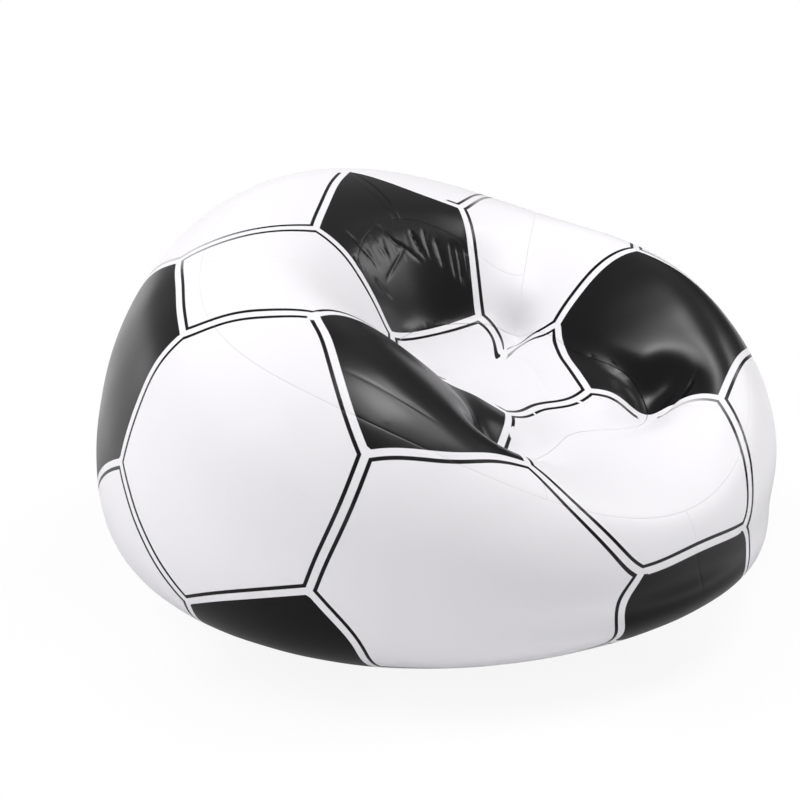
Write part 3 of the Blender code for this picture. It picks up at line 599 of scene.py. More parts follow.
@functools.cache
def ball_pattern():
    """Return, for each of a 20-faced ball's faces, its middle and six edge planes.

    The corners of the 20-faced body are (0, 1, golden ratio) and its turns. A
    pentagon lies at each corner and a hexagon on each face. Both come from
    cutting every edge at its thirds. A plane is given by its unit normal, which
    points into the hexagon. The first three planes bound pentagons and the last
    three bound hexagons. The ball is turned to have a face at fall 0, with one
    of that face's corners towards the back.
    """
    golden = (1.0 + math.sqrt(5.0)) / 2.0
    corners = [np.roll((0.0, one, far * golden), turn)
               for one in (-1, 1) for far in (-1, 1) for turn in range(3)]
    corners = unit(np.array(corners))
    spans = np.linalg.norm(corners[:, None] - corners[None], axis=2)
    joined = np.abs(spans - np.min(spans[spans > 0.1])) < 1e-6
    faces = [(a, b, c) for a in range(12) for b in range(a) for c in range(b)
             if joined[a, b] and joined[b, c] and joined[a, c]]
    pole = unit(corners[list(faces[0])].sum(axis=0))
    back = corners[faces[0][0]]
    back = unit(back - pole * (back @ pole))
    corners = corners @ np.array([np.cross(back, pole), back, pole]).T
    middles, planes = [], []
    for face in faces:
        trio = corners[list(face)]
        middle = unit(trio.sum(axis=0))
        normals = []
        for own, left, right in ((0, 1, 2), (1, 2, 0), (2, 0, 1)):
            first = trio[own] + (trio[left] - trio[own]) / 3
            second = trio[own] + (trio[right] - trio[own]) / 3
            normals.append(np.cross(first, second))
        normals += [np.cross(trio[a], trio[b]) for a, b in ((0, 1), (1, 2), (2, 0))]
        normals = unit(np.array(normals))
        planes.append(normals * np.sign(normals @ middle)[:, None])
        middles.append(middle)
    return np.array(middles), np.array(planes)


def print_direction(fall, heading):
    """Return the direction on the ball of the pattern at places on the skin."""
    pattern_fall = fall.copy()
    pattern_heading = heading.copy()
    for at_fall, at_heading, fall_spread, heading_spread, fall_shift, heading_shift in PRINT_CREEP:
        near = bell(fall - at_fall, fall_spread)
        near = near * bell(turned_apart(heading, at_heading), heading_spread)
        pattern_fall += fall_shift * near
        pattern_heading += heading_shift * near
    polar = np.radians(pattern_fall)
    turn = np.radians(pattern_heading)
    return np.column_stack((np.sin(polar) * np.cos(turn), np.sin(polar) * np.sin(turn),
                            np.cos(polar)))


def print_distances(fall, heading):
    """Return the distances along the film to the nearest pentagon's and hexagon's edge.

    The angle from an edge's plane is the arcsine of the direction's dot product
    with the plane's normal. Divided by its slope over the film, from the
    surface's first fundamental form, it is a length. The pentagon's is below
    zero inside it.
    """
    middles, planes = ball_pattern()
    face = np.argmax(print_direction(fall, heading) @ middles.T, axis=1)
    normals = planes[face]

    def angles(falls, headings):
        """Return the angles of places from their six planes."""
        return np.arcsin(np.einsum("nj,nkj->nk", print_direction(falls, headings), normals))

    here = angles(fall, heading)
    by_fall = (angles(fall + NUDGE, heading) - angles(fall - NUDGE, heading)) / (2 * NUDGE)
    by_heading = (angles(fall, heading + NUDGE) - angles(fall, heading - NUDGE)) / (2 * NUDGE)
    down, around = tangents(fitted_surface, fall, heading)
    first = dots(down, down)[:, None]
    mixed = dots(down, around)[:, None]
    second = dots(around, around)[:, None]
    area = np.maximum(first * second - mixed ** 2, 1e-12)
    slope = (second * by_fall ** 2 - 2 * mixed * by_fall * by_heading + first * by_heading ** 2)
    lengths = here / np.sqrt(np.maximum(slope / area, LEAST_SLOPE))
    return lengths[:, :3].min(axis=1), lengths[:, 3:].min(axis=1)


def print_fields(falls, headings, pads):
    """Return the print's fields on a grid, padded by repeating the grid's edges."""
    places = falls.ravel(), headings.ravel()
    pentagon, hexagon = print_distances(*places)
    fields = pentagon, hexagon, bell_sum(*places, PRINT_GAPS), bell_sum(*places, PRINT_FADES)
    return {field: np.pad(values.reshape(falls.shape), pads, mode="edge").ravel()
            for field, values in zip(PRINT_FIELDS, fields)}


# Meshes

def sheet_faces(rows, columns, closed, looped=False):
    """Return the four-cornered faces of a grid, turned to face outwards.

    A closed grid's last column joins its first, and a looped one's last row too.
    """
    row = np.arange(rows if looped else rows - 1)[:, None]
    column = np.arange(columns if closed else columns - 1)[None]
    below, after = (row + 1) % rows, (column + 1) % columns
    return np.stack((row * columns + column, below * columns + column,
                     below * columns + after, row * columns + after), axis=-1)


def finish_piece(name, mesh, material, body, smooth_angle):
    """Shade a mesh, dress it and put it in the scene as a piece that rides on a body."""
    mesh.shade_smooth()
    mesh.set_sharp_from_angle(angle=math.radians(smooth_angle))
    mesh.materials.clear()
    mesh.materials.append(material)
    piece = bpy.data.objects.new(name, mesh)
    bpy.context.scene.collection.objects.link(piece)
    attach(piece, body)
    return piece


def film_piece(name, points, faces, grid, fields=None, **declared):
    """Make a sheet a piece of the chamber and let it replace its solid.

    A sheet with the print's fields is printed film and grows inwards by its
    thickness. One without them is a web and grows both ways. Points that no
    face uses are left out.
    """
    printed = fields is not None
    fields = fields or {}
    if isinstance(faces, np.ndarray):
        used, places = np.unique(faces.reshape(-1), return_inverse=True)
        points, faces = points[used], places.reshape(-1, 4)
        fields = {field: values[used] for field, values in fields.items()}
    mesh = bpy.data.meshes.new(f"{name}_film")
    mesh.from_pydata(points, [], faces)
    for field, values in fields.items():
        attribute = mesh.attributes.new(field, "FLOAT", "POINT")
        attribute.data.foreach_set("value", np.ascontiguousarray(values, dtype=np.float32))
    mesh.validate()
    piece = finish_piece(f"{name}_film", mesh, printed_vinyl() if printed else web_vinyl(),
                         "chamber", FILM_SHARP_ANGLE)
    declare_film(piece, grid, **declared)
    solid = piece.modifiers.new("film", "SOLIDIFY")
    solid.thickness = sizes().film
    solid.offset = -1.0 if printed else 0.0
    solid.use_even_offset = True
    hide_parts(name)


def out_of_ring(ring, inward):
    """Return unit vectors out of a ring of points, square to it and to its normals."""
    around = np.roll(ring, -1, axis=0) - np.roll(ring, 1, axis=0)
    return -unit(np.cross(around, inward))


def pole_faces(pole, first, columns):
    """Return the triangles from a pole to the row of points that starts at first."""
    return [(pole, first + column, first + (column + 1) % columns) for column in range(columns)]


def crowded_shares(count, crowding=EDGE_CROWDING):
    """Return shares from 0 to 1, crowded at both ends: t - crowding sin(2 pi t) / 2 pi."""
    even = np.linspace(0.0, 1.0, count)
    return even - crowding * np.sin(2 * np.pi * even) / (2 * np.pi)


def turned_in(towards_seam, inward):
    """Return the offsets of a sheet's edge as it turns round its lip into the weld.

    The lip is a quarter circle, and the margin goes straight in from its end.
    """
    size = sizes()
    lip = size.lip
    bend = [towards_seam * lip * math.sin(angle) + inward * lip * (1 - math.cos(angle))
            for angle in LIP_ANGLES]
    return bend + [bend[-1] + inward * (size.margin - lip) * share for share in MARGIN_SHARES]


def square_part(vectors, normal):
    """Return vectors less their parts along a normal."""
    return vectors - (vectors @ normal)[..., None] * normal


def rounded_hole(grid, faces, centre, normal, radius):
    """Open a round hole in a sheet: return its points and the faces that stay.

    Faces whose middle is nearer the axis than the radius go. The points they
    shared with faces that stay move straight away from the axis or towards it,
    until they lie on the circle.
    """
    offset = square_part(grid - centre, normal)
    away = np.linalg.norm(offset, axis=1)
    near = np.linalg.norm(grid - centre, axis=1) < 4 * radius  # not the skin's far side
    middle = square_part(grid[faces].mean(axis=1) - centre, normal)
    gone = near[faces[:, 0]] & (np.linalg.norm(middle, axis=1) < radius)
    rim = np.intersect1d(faces[gone], faces[~gone])
    grid = grid.copy()
    grid[rim] += offset[rim] * (radius / away[rim] - 1.0)[:, None]
    return grid, faces[~gone]


def declare_film(piece, grid, round_sheet=False, rests_on=()):
    """Take a piece of film and its grid.

    On a round sheet a copy of the grid gets its first column again at its
    end. The copy is not kept, and nothing is set on the piece.
    """
    if round_sheet:
        grid = np.concatenate((grid, grid[:, :1]), axis=1)


def panel_grid(seams, columns, counts, seat_side):
    """Return falls and headings of a panel's grid, a lip's width short of its seams."""
    size = sizes()
    first_seam, last_seam = seams
    row_shares = crowded_shares(counts[0])[:, None]
    column_shares = crowded_shares(counts[1])[None]
    headings = columns[0] + column_shares[0] * (columns[1] - columns[0])
    first, last = first_seam(headings), last_seam(headings)
    falls = first + row_shares * (last - first)
    shape = falls.shape
    down, around = tangents(skin, falls.ravel(), np.tile(headings, shape[0]))
    per_fall = np.linalg.norm(down, axis=1).reshape(shape)
    per_heading = np.linalg.norm(around, axis=1).reshape(shape)
    short = size.lip + size.gap / 2
    seat_short = size.lip + size.gap + size.film / 2
    first = first + (seat_short if seat_side else short) / per_fall[0]
    last = last - short / per_fall[-1]
    falls = first + row_shares * (last - first)
    left = columns[0] + short / per_heading[:, :1]
    right = columns[1] - short / per_heading[:, -1:]
    return falls, left + column_shares * (right - left)


def film_panel(name, seams, columns, counts, seat_side, hole=None):
    """Build a panel between two ring seams and two headings, with margins turned in.

    The padded grid repeats the panel's edge and adds the turned-in offsets. At
    a corner both edges' offsets add up, and the cells where both margins would
    run are left out.
    """
    falls, headings = panel_grid(seams, columns, counts, seat_side)
    points, inward = detailed_grid(falls, headings)
    down, around = np.gradient(points, axis=(0, 1))
    pads = ((EDGE_STEPS, EDGE_STEPS), (EDGE_STEPS, EDGE_STEPS))
    grid = np.pad(points, (*pads, (0, 0)), mode="edge")
    outwards = unit(np.cross(around, inward)), -unit(np.cross(down, inward))
    for axis in (0, 1):
        rows, edges, inner = (np.moveaxis(values, axis, 0)
                              for values in (grid, outwards[axis], inward))
        for end, sign in ((0, 1), (-1, -1)):
            for step, offset in enumerate(turned_in(sign * edges[end], inner[end])):
                rows[sign * (EDGE_STEPS - 1 - step) + end] += np.pad(
                    offset, (pads[0], (0, 0)), mode="edge")
    margin = len(MARGIN_SHARES)
    ends = np.r_[:margin, -margin:0]
    faces = sheet_faces(*grid.shape[:2], False)
    kept = np.ones(faces.shape[:2], bool)
    kept[np.ix_(ends, ends)] = False
    points, faces = grid.reshape(-1, 3), faces[kept]
    if hole is not None:
        points, faces = rounded_hole(points, faces, *hole)
    film_piece(name, points, faces, grid, print_fields(falls, headings, pads))


# Shader recipes

def maths_method(operation):
    """Return a method that adds a Math node of a value and another."""
    return lambda value, other: value.maths(operation, other)


class Value:
    """A shader value. Python's operators on it, and least and most, add Math nodes."""

    def __init__(self, recipe, socket):
        self.recipe = recipe
        self.socket = socket

    def maths(self, operation, *others, clamp=False):
        """Add a Math node that takes this value and others."""
        node = self.recipe.node("ShaderNodeMath", {"operation": operation, "use_clamp": clamp},
                                dict(enumerate((self, *others))))
        return Value(self.recipe, node.outputs[0])

    __add__ = __radd__ = maths_method("ADD")
    __mul__ = __rmul__ = maths_method("MULTIPLY")
    __sub__ = maths_method("SUBTRACT")
    least = maths_method("MINIMUM")
    most = maths_method("MAXIMUM")

    def __rsub__(self, other):
        return self * -1.0 + other

    def over(self, limit, softness):
        """Return 1 above a limit and 0 below it, with an edge as soft as asked."""
        return (self - limit).maths("MULTIPLY_ADD", 1.0 / softness, 0.5, clamp=True)


class Recipe:
    """A material's node tree and the method that adds nodes to it."""

    def __init__(self, owner):
        owner.use_nodes = True
        self.tree = owner.node_tree
        self.shader = self.tree.nodes.get("Principled BSDF")

    def feed(self, socket, value):
        """Give a socket a value, a colour or a link."""
        if isinstance(value, Value):
            value = value.socket
        if isinstance(value, bpy.types.NodeSocket):
            self.tree.links.new(value, socket)
        elif hasattr(value, "__len__") and socket.type == "RGBA" and len(value) == 3:
            socket.default_value = (*value, 1.0)
        else:
            socket.default_value = value

    def node(self, kind, settings=None, inputs=None):
        """Add a node: its settings first, then the values or links of its sockets."""
        node = self.tree.nodes.new(kind)
        for name, value in (settings or {}).items():
            setattr(node, name, value)
        for name, value in (inputs or {}).items():
            self.feed(node.inputs[name], value)
        return node

    def value(self, kind, output, settings=None, inputs=None):
        """Add a node and return one of its outputs as a value."""
        return Value(self, self.node(kind, settings, inputs).outputs[output])

    def noise(self, scale, detail=3.0, roughness=0.5):
        """Return noise of the object's own coordinates."""
        place = self.node("ShaderNodeTexCoord").outputs["Object"]
        return self.value("ShaderNodeTexNoise", "Fac", {},
                          {"Vector": place, "Scale": scale, "Detail": detail,
                           "Roughness": roughness})

    def mixed(self, share, first, second):
        """Return a colour between two."""
        return self.node("ShaderNodeMix", {"data_type": "RGBA"},
                         {0: share, 6: first, 7: second}).outputs[2]

    def bump(self, height, distance, strength):
        """Return a normal bent by a height."""
        return self.node("ShaderNodeBump", {}, {"Height": height, "Distance": distance,
                                                "Strength": strength}).outputs["Normal"]

    def dress(self, inputs):
        """Feed the material's Principled shader."""
        for name, value in inputs.items():
            self.feed(self.shader.inputs[name], value)


# How soft the print's edges are, and the share and softness at which a gap starts
PRINT_EDGE = 0.0005
GAP_LIMIT, GAP_SOFTNESS = 0.5, 0.12


@functools.cache
def printed_vinyl():
    """Glossy white film with black pentagons and an outline inside each hexagon."""
    material = bpy.data.materials.new("printed_vinyl")
    recipe = Recipe(material)
    look = finish()
    pentagon, hexagon, gap, fade = (
        recipe.value("ShaderNodeAttribute", "Fac", {"attribute_name": field})
        for field in PRINT_FIELDS)
    inside = pentagon.least(hexagon)
    patch = 1 - pentagon.over(-look.band, PRINT_EDGE)
    outline = (inside.over(look.band, PRINT_EDGE)
               * (1 - inside.over(look.band + look.line, PRINT_EDGE)))
    outline = outline * (1 - gap.over(GAP_LIMIT, GAP_SOFTNESS)) * (1 - fade)
    print_share = patch.most(outline)
    tint = recipe.noise(2.2, 2.0) * 0.5
    white = recipe.mixed(tint, look.white, [0.985 * part for part in look.white])
    smudge = recipe.noise(9.0, 4.0, 0.6)
    ripple = recipe.noise(420.0, 2.0)
    recipe.dress({"Base Color": recipe.mixed(print_share, white, look.black),
                  "Roughness": 0.36 + 0.08 * smudge - 0.14 * print_share,
                  "Normal": recipe.bump(ripple, 0.00006, 0.35), "IOR": 1.36})
    return material


def plain_vinyl(name, colours, cloud, tint, roughness, grain=None):
    """Return unprinted film: clouds of two colours and of roughness, and a fine grain.

    A cloud has a scale and a detail, roughness a least value and what is added
    to it, and grain a scale and a height.
    """
    material = bpy.data.materials.new(name)
    recipe = Recipe(material)
    clouds = recipe.noise(*cloud)
    recipe.dress({"Base Color": recipe.mixed(clouds * tint, *colours),
                  "Roughness": roughness[0] + roughness[1] * clouds})
    if grain:
        recipe.dress({"Normal": recipe.bump(recipe.noise(grain[0], 2.0), grain[1], 0.4)})
    return material


@functools.cache
def web_vinyl():
    """Plain translucent film of the webs inside."""
    clear = finish().clear
    return plain_vinyl("web_vinyl", (clear, [0.93 * part for part in clear]), (14.0, 3.0), 0.4,
                       (0.32, 0.12), (260.0, 0.00008))


@functools.cache
def valve_vinyl():
    """Soft moulded vinyl of the valve, satin with a fine grain."""
    white = finish().white
    return plain_vinyl("valve_vinyl", (white, [0.95 * part for part in white]), (60.0, 3.0), 0.5,
                       (0.34, 0.12), (1800.0, 0.00003))


@functools.cache
def flap_vinyl():
    """Thin clear film of the flap."""
    clear = finish().clear
    return plain_vinyl("flap_vinyl", ([0.97 * part for part in clear], clear), (90.0, 2.0), 0.4,
                       (0.22, 0.1))


# Operators

class ARMCHAIR_OT_seat(bpy.types.Operator):
    """Build the seat, the round panel inside the sunken seam."""

    bl_idname = "armchair.seat"
    bl_label = "Seat"

    def execute(self, context):
        """Build the seat panel and replace its solid."""
        ring_panel("seat_panel", *SEAT_GRID)
        return {"FINISHED"}


def ring_panel(name, rows, columns):
    """Build the seat: rings from its middle to its seam, and the margin below."""
    size = sizes()
    headings = np.arange(columns) * 360.0 / columns
    seam = seat_seam_fall(headings)
    down, _ = tangents(skin, seam, headings)
    short = size.lip + size.gap + size.film / 2
    last = seam - short / np.linalg.norm(down, axis=1)
    even = np.linspace(0.0, 1.0, rows + 1)[1:, None]
    shares = even + SEAT_CROWDING * even * (1.0 - even)
    falls = shares * last
    headings = np.tile(headings, (rows, 1))
    points, inward = detailed_grid(falls, headings)
    inward = inward[-1]
    to_seam = out_of_ring(points[-1], inward)
    edge = [points[-1] + offset for offset in turned_in(to_seam, inward)]
    middle, _ = detailed_skin(np.zeros(1), np.zeros(1))
    grid = np.concatenate((points, edge))
    faces = sheet_faces(len(grid), columns, True).reshape(-1, 4).tolist()
    pole = len(grid) * columns
    faces += pole_faces(pole, 0, columns)
    fields = print_fields(falls, headings, ((0, EDGE_STEPS), (0, 0)))
    fields = {field: np.append(values, 1.0) for field, values in fields.items()}
    film_piece(name, np.vstack((grid.reshape(-1, 3), middle)), faces, grid, fields,
               round_sheet=True)


class ARMCHAIR_OT_back(bpy.types.Operator):
    """Build the lower backrest and the two halves of the upper back."""

    bl_idname = "armchair.back"
    bl_label = "Back"

    def execute(self, context):
        """Build the three panels and replace their solids."""
        left, right = BACK_CORNERS
        upper = (backrest_seam_fall, rim_fall)
        for name, seams, columns, counts, seat_side in (
                ("backrest_panel", (seat_seam_fall, backrest_seam_fall), (left, right),
                 BACKREST_GRID, True),
                ("left_back_panel", upper, (left, BACK), BACK_GRID, False),
                ("right_back_panel", upper, (BACK, right), BACK_GRID, False)):
            film_panel(name, seams, columns, counts, seat_side)
        return {"FINISHED"}


class ARMCHAIR_OT_arms(bpy.types.Operator):
    """Build the two arms and the front roll, from the seat's seam to the rim."""

    bl_idname = "armchair.arms"
    bl_label = "Arms and front"

    def execute(self, context):
        """Build the three panels and replace their solids."""
        seams = (seat_seam_fall, rim_fall)
        left_back, right_back = BACK_CORNERS
        right_front, left_front = FRONT_CORNERS
        for name, columns, counts in (
                ("left_arm_panel", (left_front, left_back + 360.0), ARM_GRID),
                ("right_arm_panel", (right_back, right_front), ARM_GRID),
                ("front_panel", (right_front, left_front), FRONT_GRID)):
            film_panel(name, seams, columns, counts, True)
        return {"FINISHED"}


class ARMCHAIR_OT_walls(bpy.types.Operator):
    """Build the two outer walls, from the rim to the floor."""

    bl_idname = "armchair.walls"
    bl_label = "Outer walls"

    def execute(self, context):
        """Build the two panels, with the valve's hole, and replace their solids."""
        seams = (rim_fall, floor_fall)
        origin, _, _, outwards = valve_frame()
        hole = (origin, outwards, NECK_BORE_RADIUS + NECK_WALL + sizes().gap)
        for name, columns, opening in (("left_outer_wall", (FRONT - 360.0, BACK), hole),
                                       ("right_outer_wall", (BACK, FRONT), None)):
            film_panel(name, seams, columns, WALL_GRID, False, opening)
        return {"FINISHED"}


class ARMCHAIR_OT_base(bpy.types.Operator):
    """Build the base, flat on the floor and lifted at its seam."""

    bl_idname = "armchair.base"
    bl_label = "Base"

    def execute(self, context):
        """Build the base panel and replace its solid."""
        base_disc("base_panel", *BASE_GRID)
        return {"FINISHED"}


def base_disc(name, rows, columns):
    """Build the base: rings shrink towards their centre as the square lift dies out."""
    size = sizes()
    headings = np.arange(columns) * 360.0 / columns
    seam, normals = detailed_skin(floor_fall(headings), headings)
    inward = -normals
    past_seam = out_of_ring(seam, inward)
    start = seam + past_seam * (size.lip + size.gap / 2)
    centre = seam.mean(axis=0)
    shares = crowded_shares(2 * rows + 1, BASE_CROWDING)[rows:][::-1, None, None] * 2.0 - 1.0
    rings = centre + shares[:-1] * (start - centre)
    lift = np.maximum(shares[:-1] - BASE_FLAT_SHARE, 0.0) / (1.0 - BASE_FLAT_SHARE)
    rings[:, :, 2] = start[:, 2] * (lift[:, :, 0] ** 2)
    edge = [rings[0] + offset for offset in turned_in(-past_seam, inward)][::-1]
    grid = np.concatenate((edge, rings))
    faces = sheet_faces(len(grid), columns, True).reshape(-1, 4).tolist()
    pole = len(grid) * columns
    faces += [face[::-1] for face in pole_faces(pole, pole - columns, columns)]
    centre[2] = 0.0
    points = np.vstack((grid.reshape(-1, 3), centre))
    film_piece(name, points, faces, grid, dict.fromkeys(PRINT_FIELDS, np.ones(len(points))),
               round_sheet=True)


def rounded_corners(corners, reach, steps=4):
    """Return a path through corners, each replaced by a parabola that starts a reach away."""
    path = [corners[0]]
    for before, corner, after in zip(corners, corners[1:], corners[2:]):
        first = corner + unit(before - corner) * reach
        last = corner + unit(after - corner) * reach
        for share in np.linspace(0.0, 1.0, steps + 1):
            path.append((1 - share) ** 2 * first + 2 * share * (1 - share) * corner
                        + share ** 2 * last)
    path.append(corners[-1])
    return path


class ARMCHAIR_OT_webs(bpy.types.Operator):
    """Build the webs that hold the seat's seam down."""

    bl_idname = "armchair.webs"
    bl_label = "Webs"

    def execute(self, context):
        """Build the four webs and replace their solids."""
        for name, first, last, holes in WEBS:
            seat_web(name, first, last, holes)
        return {"FINISHED"}


def web_corners(headings):
    """Return where a web's film turns: its top, its bend, its foot and its toe."""
    size = sizes()
    around = np.arange(0.0, 360.0, WEB_STEP)
    middle = skin(seat_seam_fall(around), around).mean(axis=0)
    seam = seat_seam_fall(headings)
    edge = skin(seam, headings)
    inward = -outward_normals(skin, seam, headings)
    bend = edge + inward * size.margin
    foot = middle + WEB_FOOT_SHARE * (bend - middle)
    foot[:, 2] = size.film * 1.5 + size.gap
    outwards = (edge - middle) * (1.0, 1.0, 0.0)
    return edge + inward * WEB_TOP_SET_BACK, bend, foot, foot + unit(outwards) * WEB_FOOT


def seat_web(name, first, last, holes):
    """Build a web: straight down from the seam's weld to its foot on the base.

    Between its corners a row is a weighted mean of both. Two round air holes
    lie halfway down, square to the film.
    """
    headings = np.linspace(first, last, WEB_COLUMNS)
    path = rounded_corners(web_corners(headings), WEB_TOP_SET_BACK)
    rows = []
    for start, end in zip(path, path[1:]):
        longest = np.linalg.norm(end - start, axis=1).max()
        shares = np.linspace(0.0, 1.0, max(2, int(longest / WEB_TOP_SET_BACK)))[:-1, None, None]
        rows.append(start + shares * (end - start))
    grid = np.concatenate((*rows, path[-1][None]))
    points, faces = grid.reshape(-1, 3), sheet_faces(*grid.shape[:2], False).reshape(-1, 4)
    for heading in holes:
        beside = np.array([heading - WEB_STEP, heading, heading + WEB_STEP])
        _, bend, foot, _ = web_corners(beside)
        normal = unit(np.cross(foot[1] - bend[1], bend[2] - bend[0]))
        points, faces = rounded_hole(points, faces, (bend[1] + foot[1]) / 2, normal,
                                     AIR_HOLE_RADIUS)
    film_piece(name, points, faces, grid, rests_on=("seat_panel", "base_panel"))


# The valve, drawn in its own frame: X right, Y up the wall, Z outwards

def turned_mesh(profile, ring):
    """Turn a rounded profile about the axis: (r cos a, r sin a, z).

    A ring's profile closes on itself. Any other starts and ends on the axis.
    """
    corners = np.array(profile)
    if ring:
        start = (corners[:1] + corners[1:2]) / 2
        path = rounded_corners(np.concatenate((start, corners[1:], corners[:1], start)),
                               EDGE_ROUNDING)[:-1]
    else:
        path = rounded_corners(corners, EDGE_ROUNDING)[1:-1]
    path = np.array(path)
    turns = np.arange(VALVE_TURNS) * 2 * np.pi / VALVE_TURNS
    radius, height = path[:, :1], path[:, 1:]
    grid = np.stack((radius * np.cos(turns), radius * np.sin(turns),
                     height + np.zeros(VALVE_TURNS)), axis=-1)
    faces = sheet_faces(len(path), VALVE_TURNS, True, ring).reshape(-1, 4).tolist()
    points = grid.reshape(-1, 3)
    if ring:
        return points, faces
    ends = [(0.0, 0.0, corners[0, 1]), (0.0, 0.0, corners[-1, 1])]
    total = len(points)
    for near, far in zip(pole_faces(total, 0, VALVE_TURNS),
                         pole_faces(total + 1, total - VALVE_TURNS, VALVE_TURNS)):
        faces += [near, far[::-1]]
    return np.concatenate((points, ends)), faces


def strap_mesh(width, start, end, low, high, round_start=False):
    """Build a strap along Y with rounded edges: rings of its outline, drawn in at the faces.

    The outline is a rectangle whose start may be a half circle.
    """
    half = width / 2
    quarter = np.linspace(0.0, np.pi / 2, STRAP_CORNER_POINTS)
    rounding = half if round_start else half / STRAP_CORNER_SHARE
    outline = []
    for side, reach, place in ((1, rounding, start), (-1, rounding, start)):
        angles = quarter if side > 0 else quarter + np.pi / 2
        centre = (side * (half - reach), place + reach)
        outline.append(np.column_stack((centre[0] + reach * np.cos(-angles),
                                        centre[1] + reach * np.sin(-angles))))
    outline = np.concatenate((*outline, ((-half, end), (half, end))))
    middle = outline.mean(axis=0)
    rings = []
    for inset, height in ((EDGE_ROUNDING, low), (EDGE_ROUNDING / 3, low + EDGE_ROUNDING / 3),
                          (0.0, low + EDGE_ROUNDING), (0.0, high - EDGE_ROUNDING),
                          (EDGE_ROUNDING / 3, high - EDGE_ROUNDING / 3), (EDGE_ROUNDING, high)):
        drawn_in = middle + (outline - middle) * (1 - inset / half)
        rings.append(np.column_stack((drawn_in, np.full(len(outline), height))))
    count = len(outline)
    faces = sheet_faces(len(rings), count, True).reshape(-1, 4).tolist()
    faces += [list(range(count)), list(range(len(rings) * count - count, len(rings) * count))]
    return np.concatenate(rings), faces


def valve_piece(name, shapes, material, body):
    """Join shapes into one valve piece, put it in the valve's frame and replace its solid."""
    origin, right, up, outwards = valve_frame()
    frame_axes = np.array((right, up, outwards))
    helpers = []
    for number, (points, faces) in enumerate(shapes):
        mesh = bpy.data.meshes.new(f"{name}_shape_{number}")
        mesh.from_pydata(origin + points @ frame_axes, [], faces)
        shape = bmesh.new()
        shape.from_mesh(mesh)
        bmesh.ops.recalc_face_normals(shape, faces=shape.faces)
        shape.to_mesh(mesh)
        shape.free()
        helper = bpy.data.objects.new(mesh.name, mesh)
        bpy.context.scene.collection.objects.link(helper)
        helpers.append(helper)
    for helper in helpers[1:]:
        join = helpers[0].modifiers.new("join", "BOOLEAN")
        join.operation = "UNION"
        join.solver = "EXACT"
        join.object = helper
    evaluated = helpers[0].evaluated_get(bpy.context.evaluated_depsgraph_get())
    mesh = bpy.data.meshes.new_from_object(evaluated)
    mesh.name = name
    for helper in helpers:
        bpy.data.objects.remove(helper)
    piece = finish_piece(f"{name}_moulding", mesh, material, body, VALVE_SHARP_ANGLE)
    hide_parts(name)


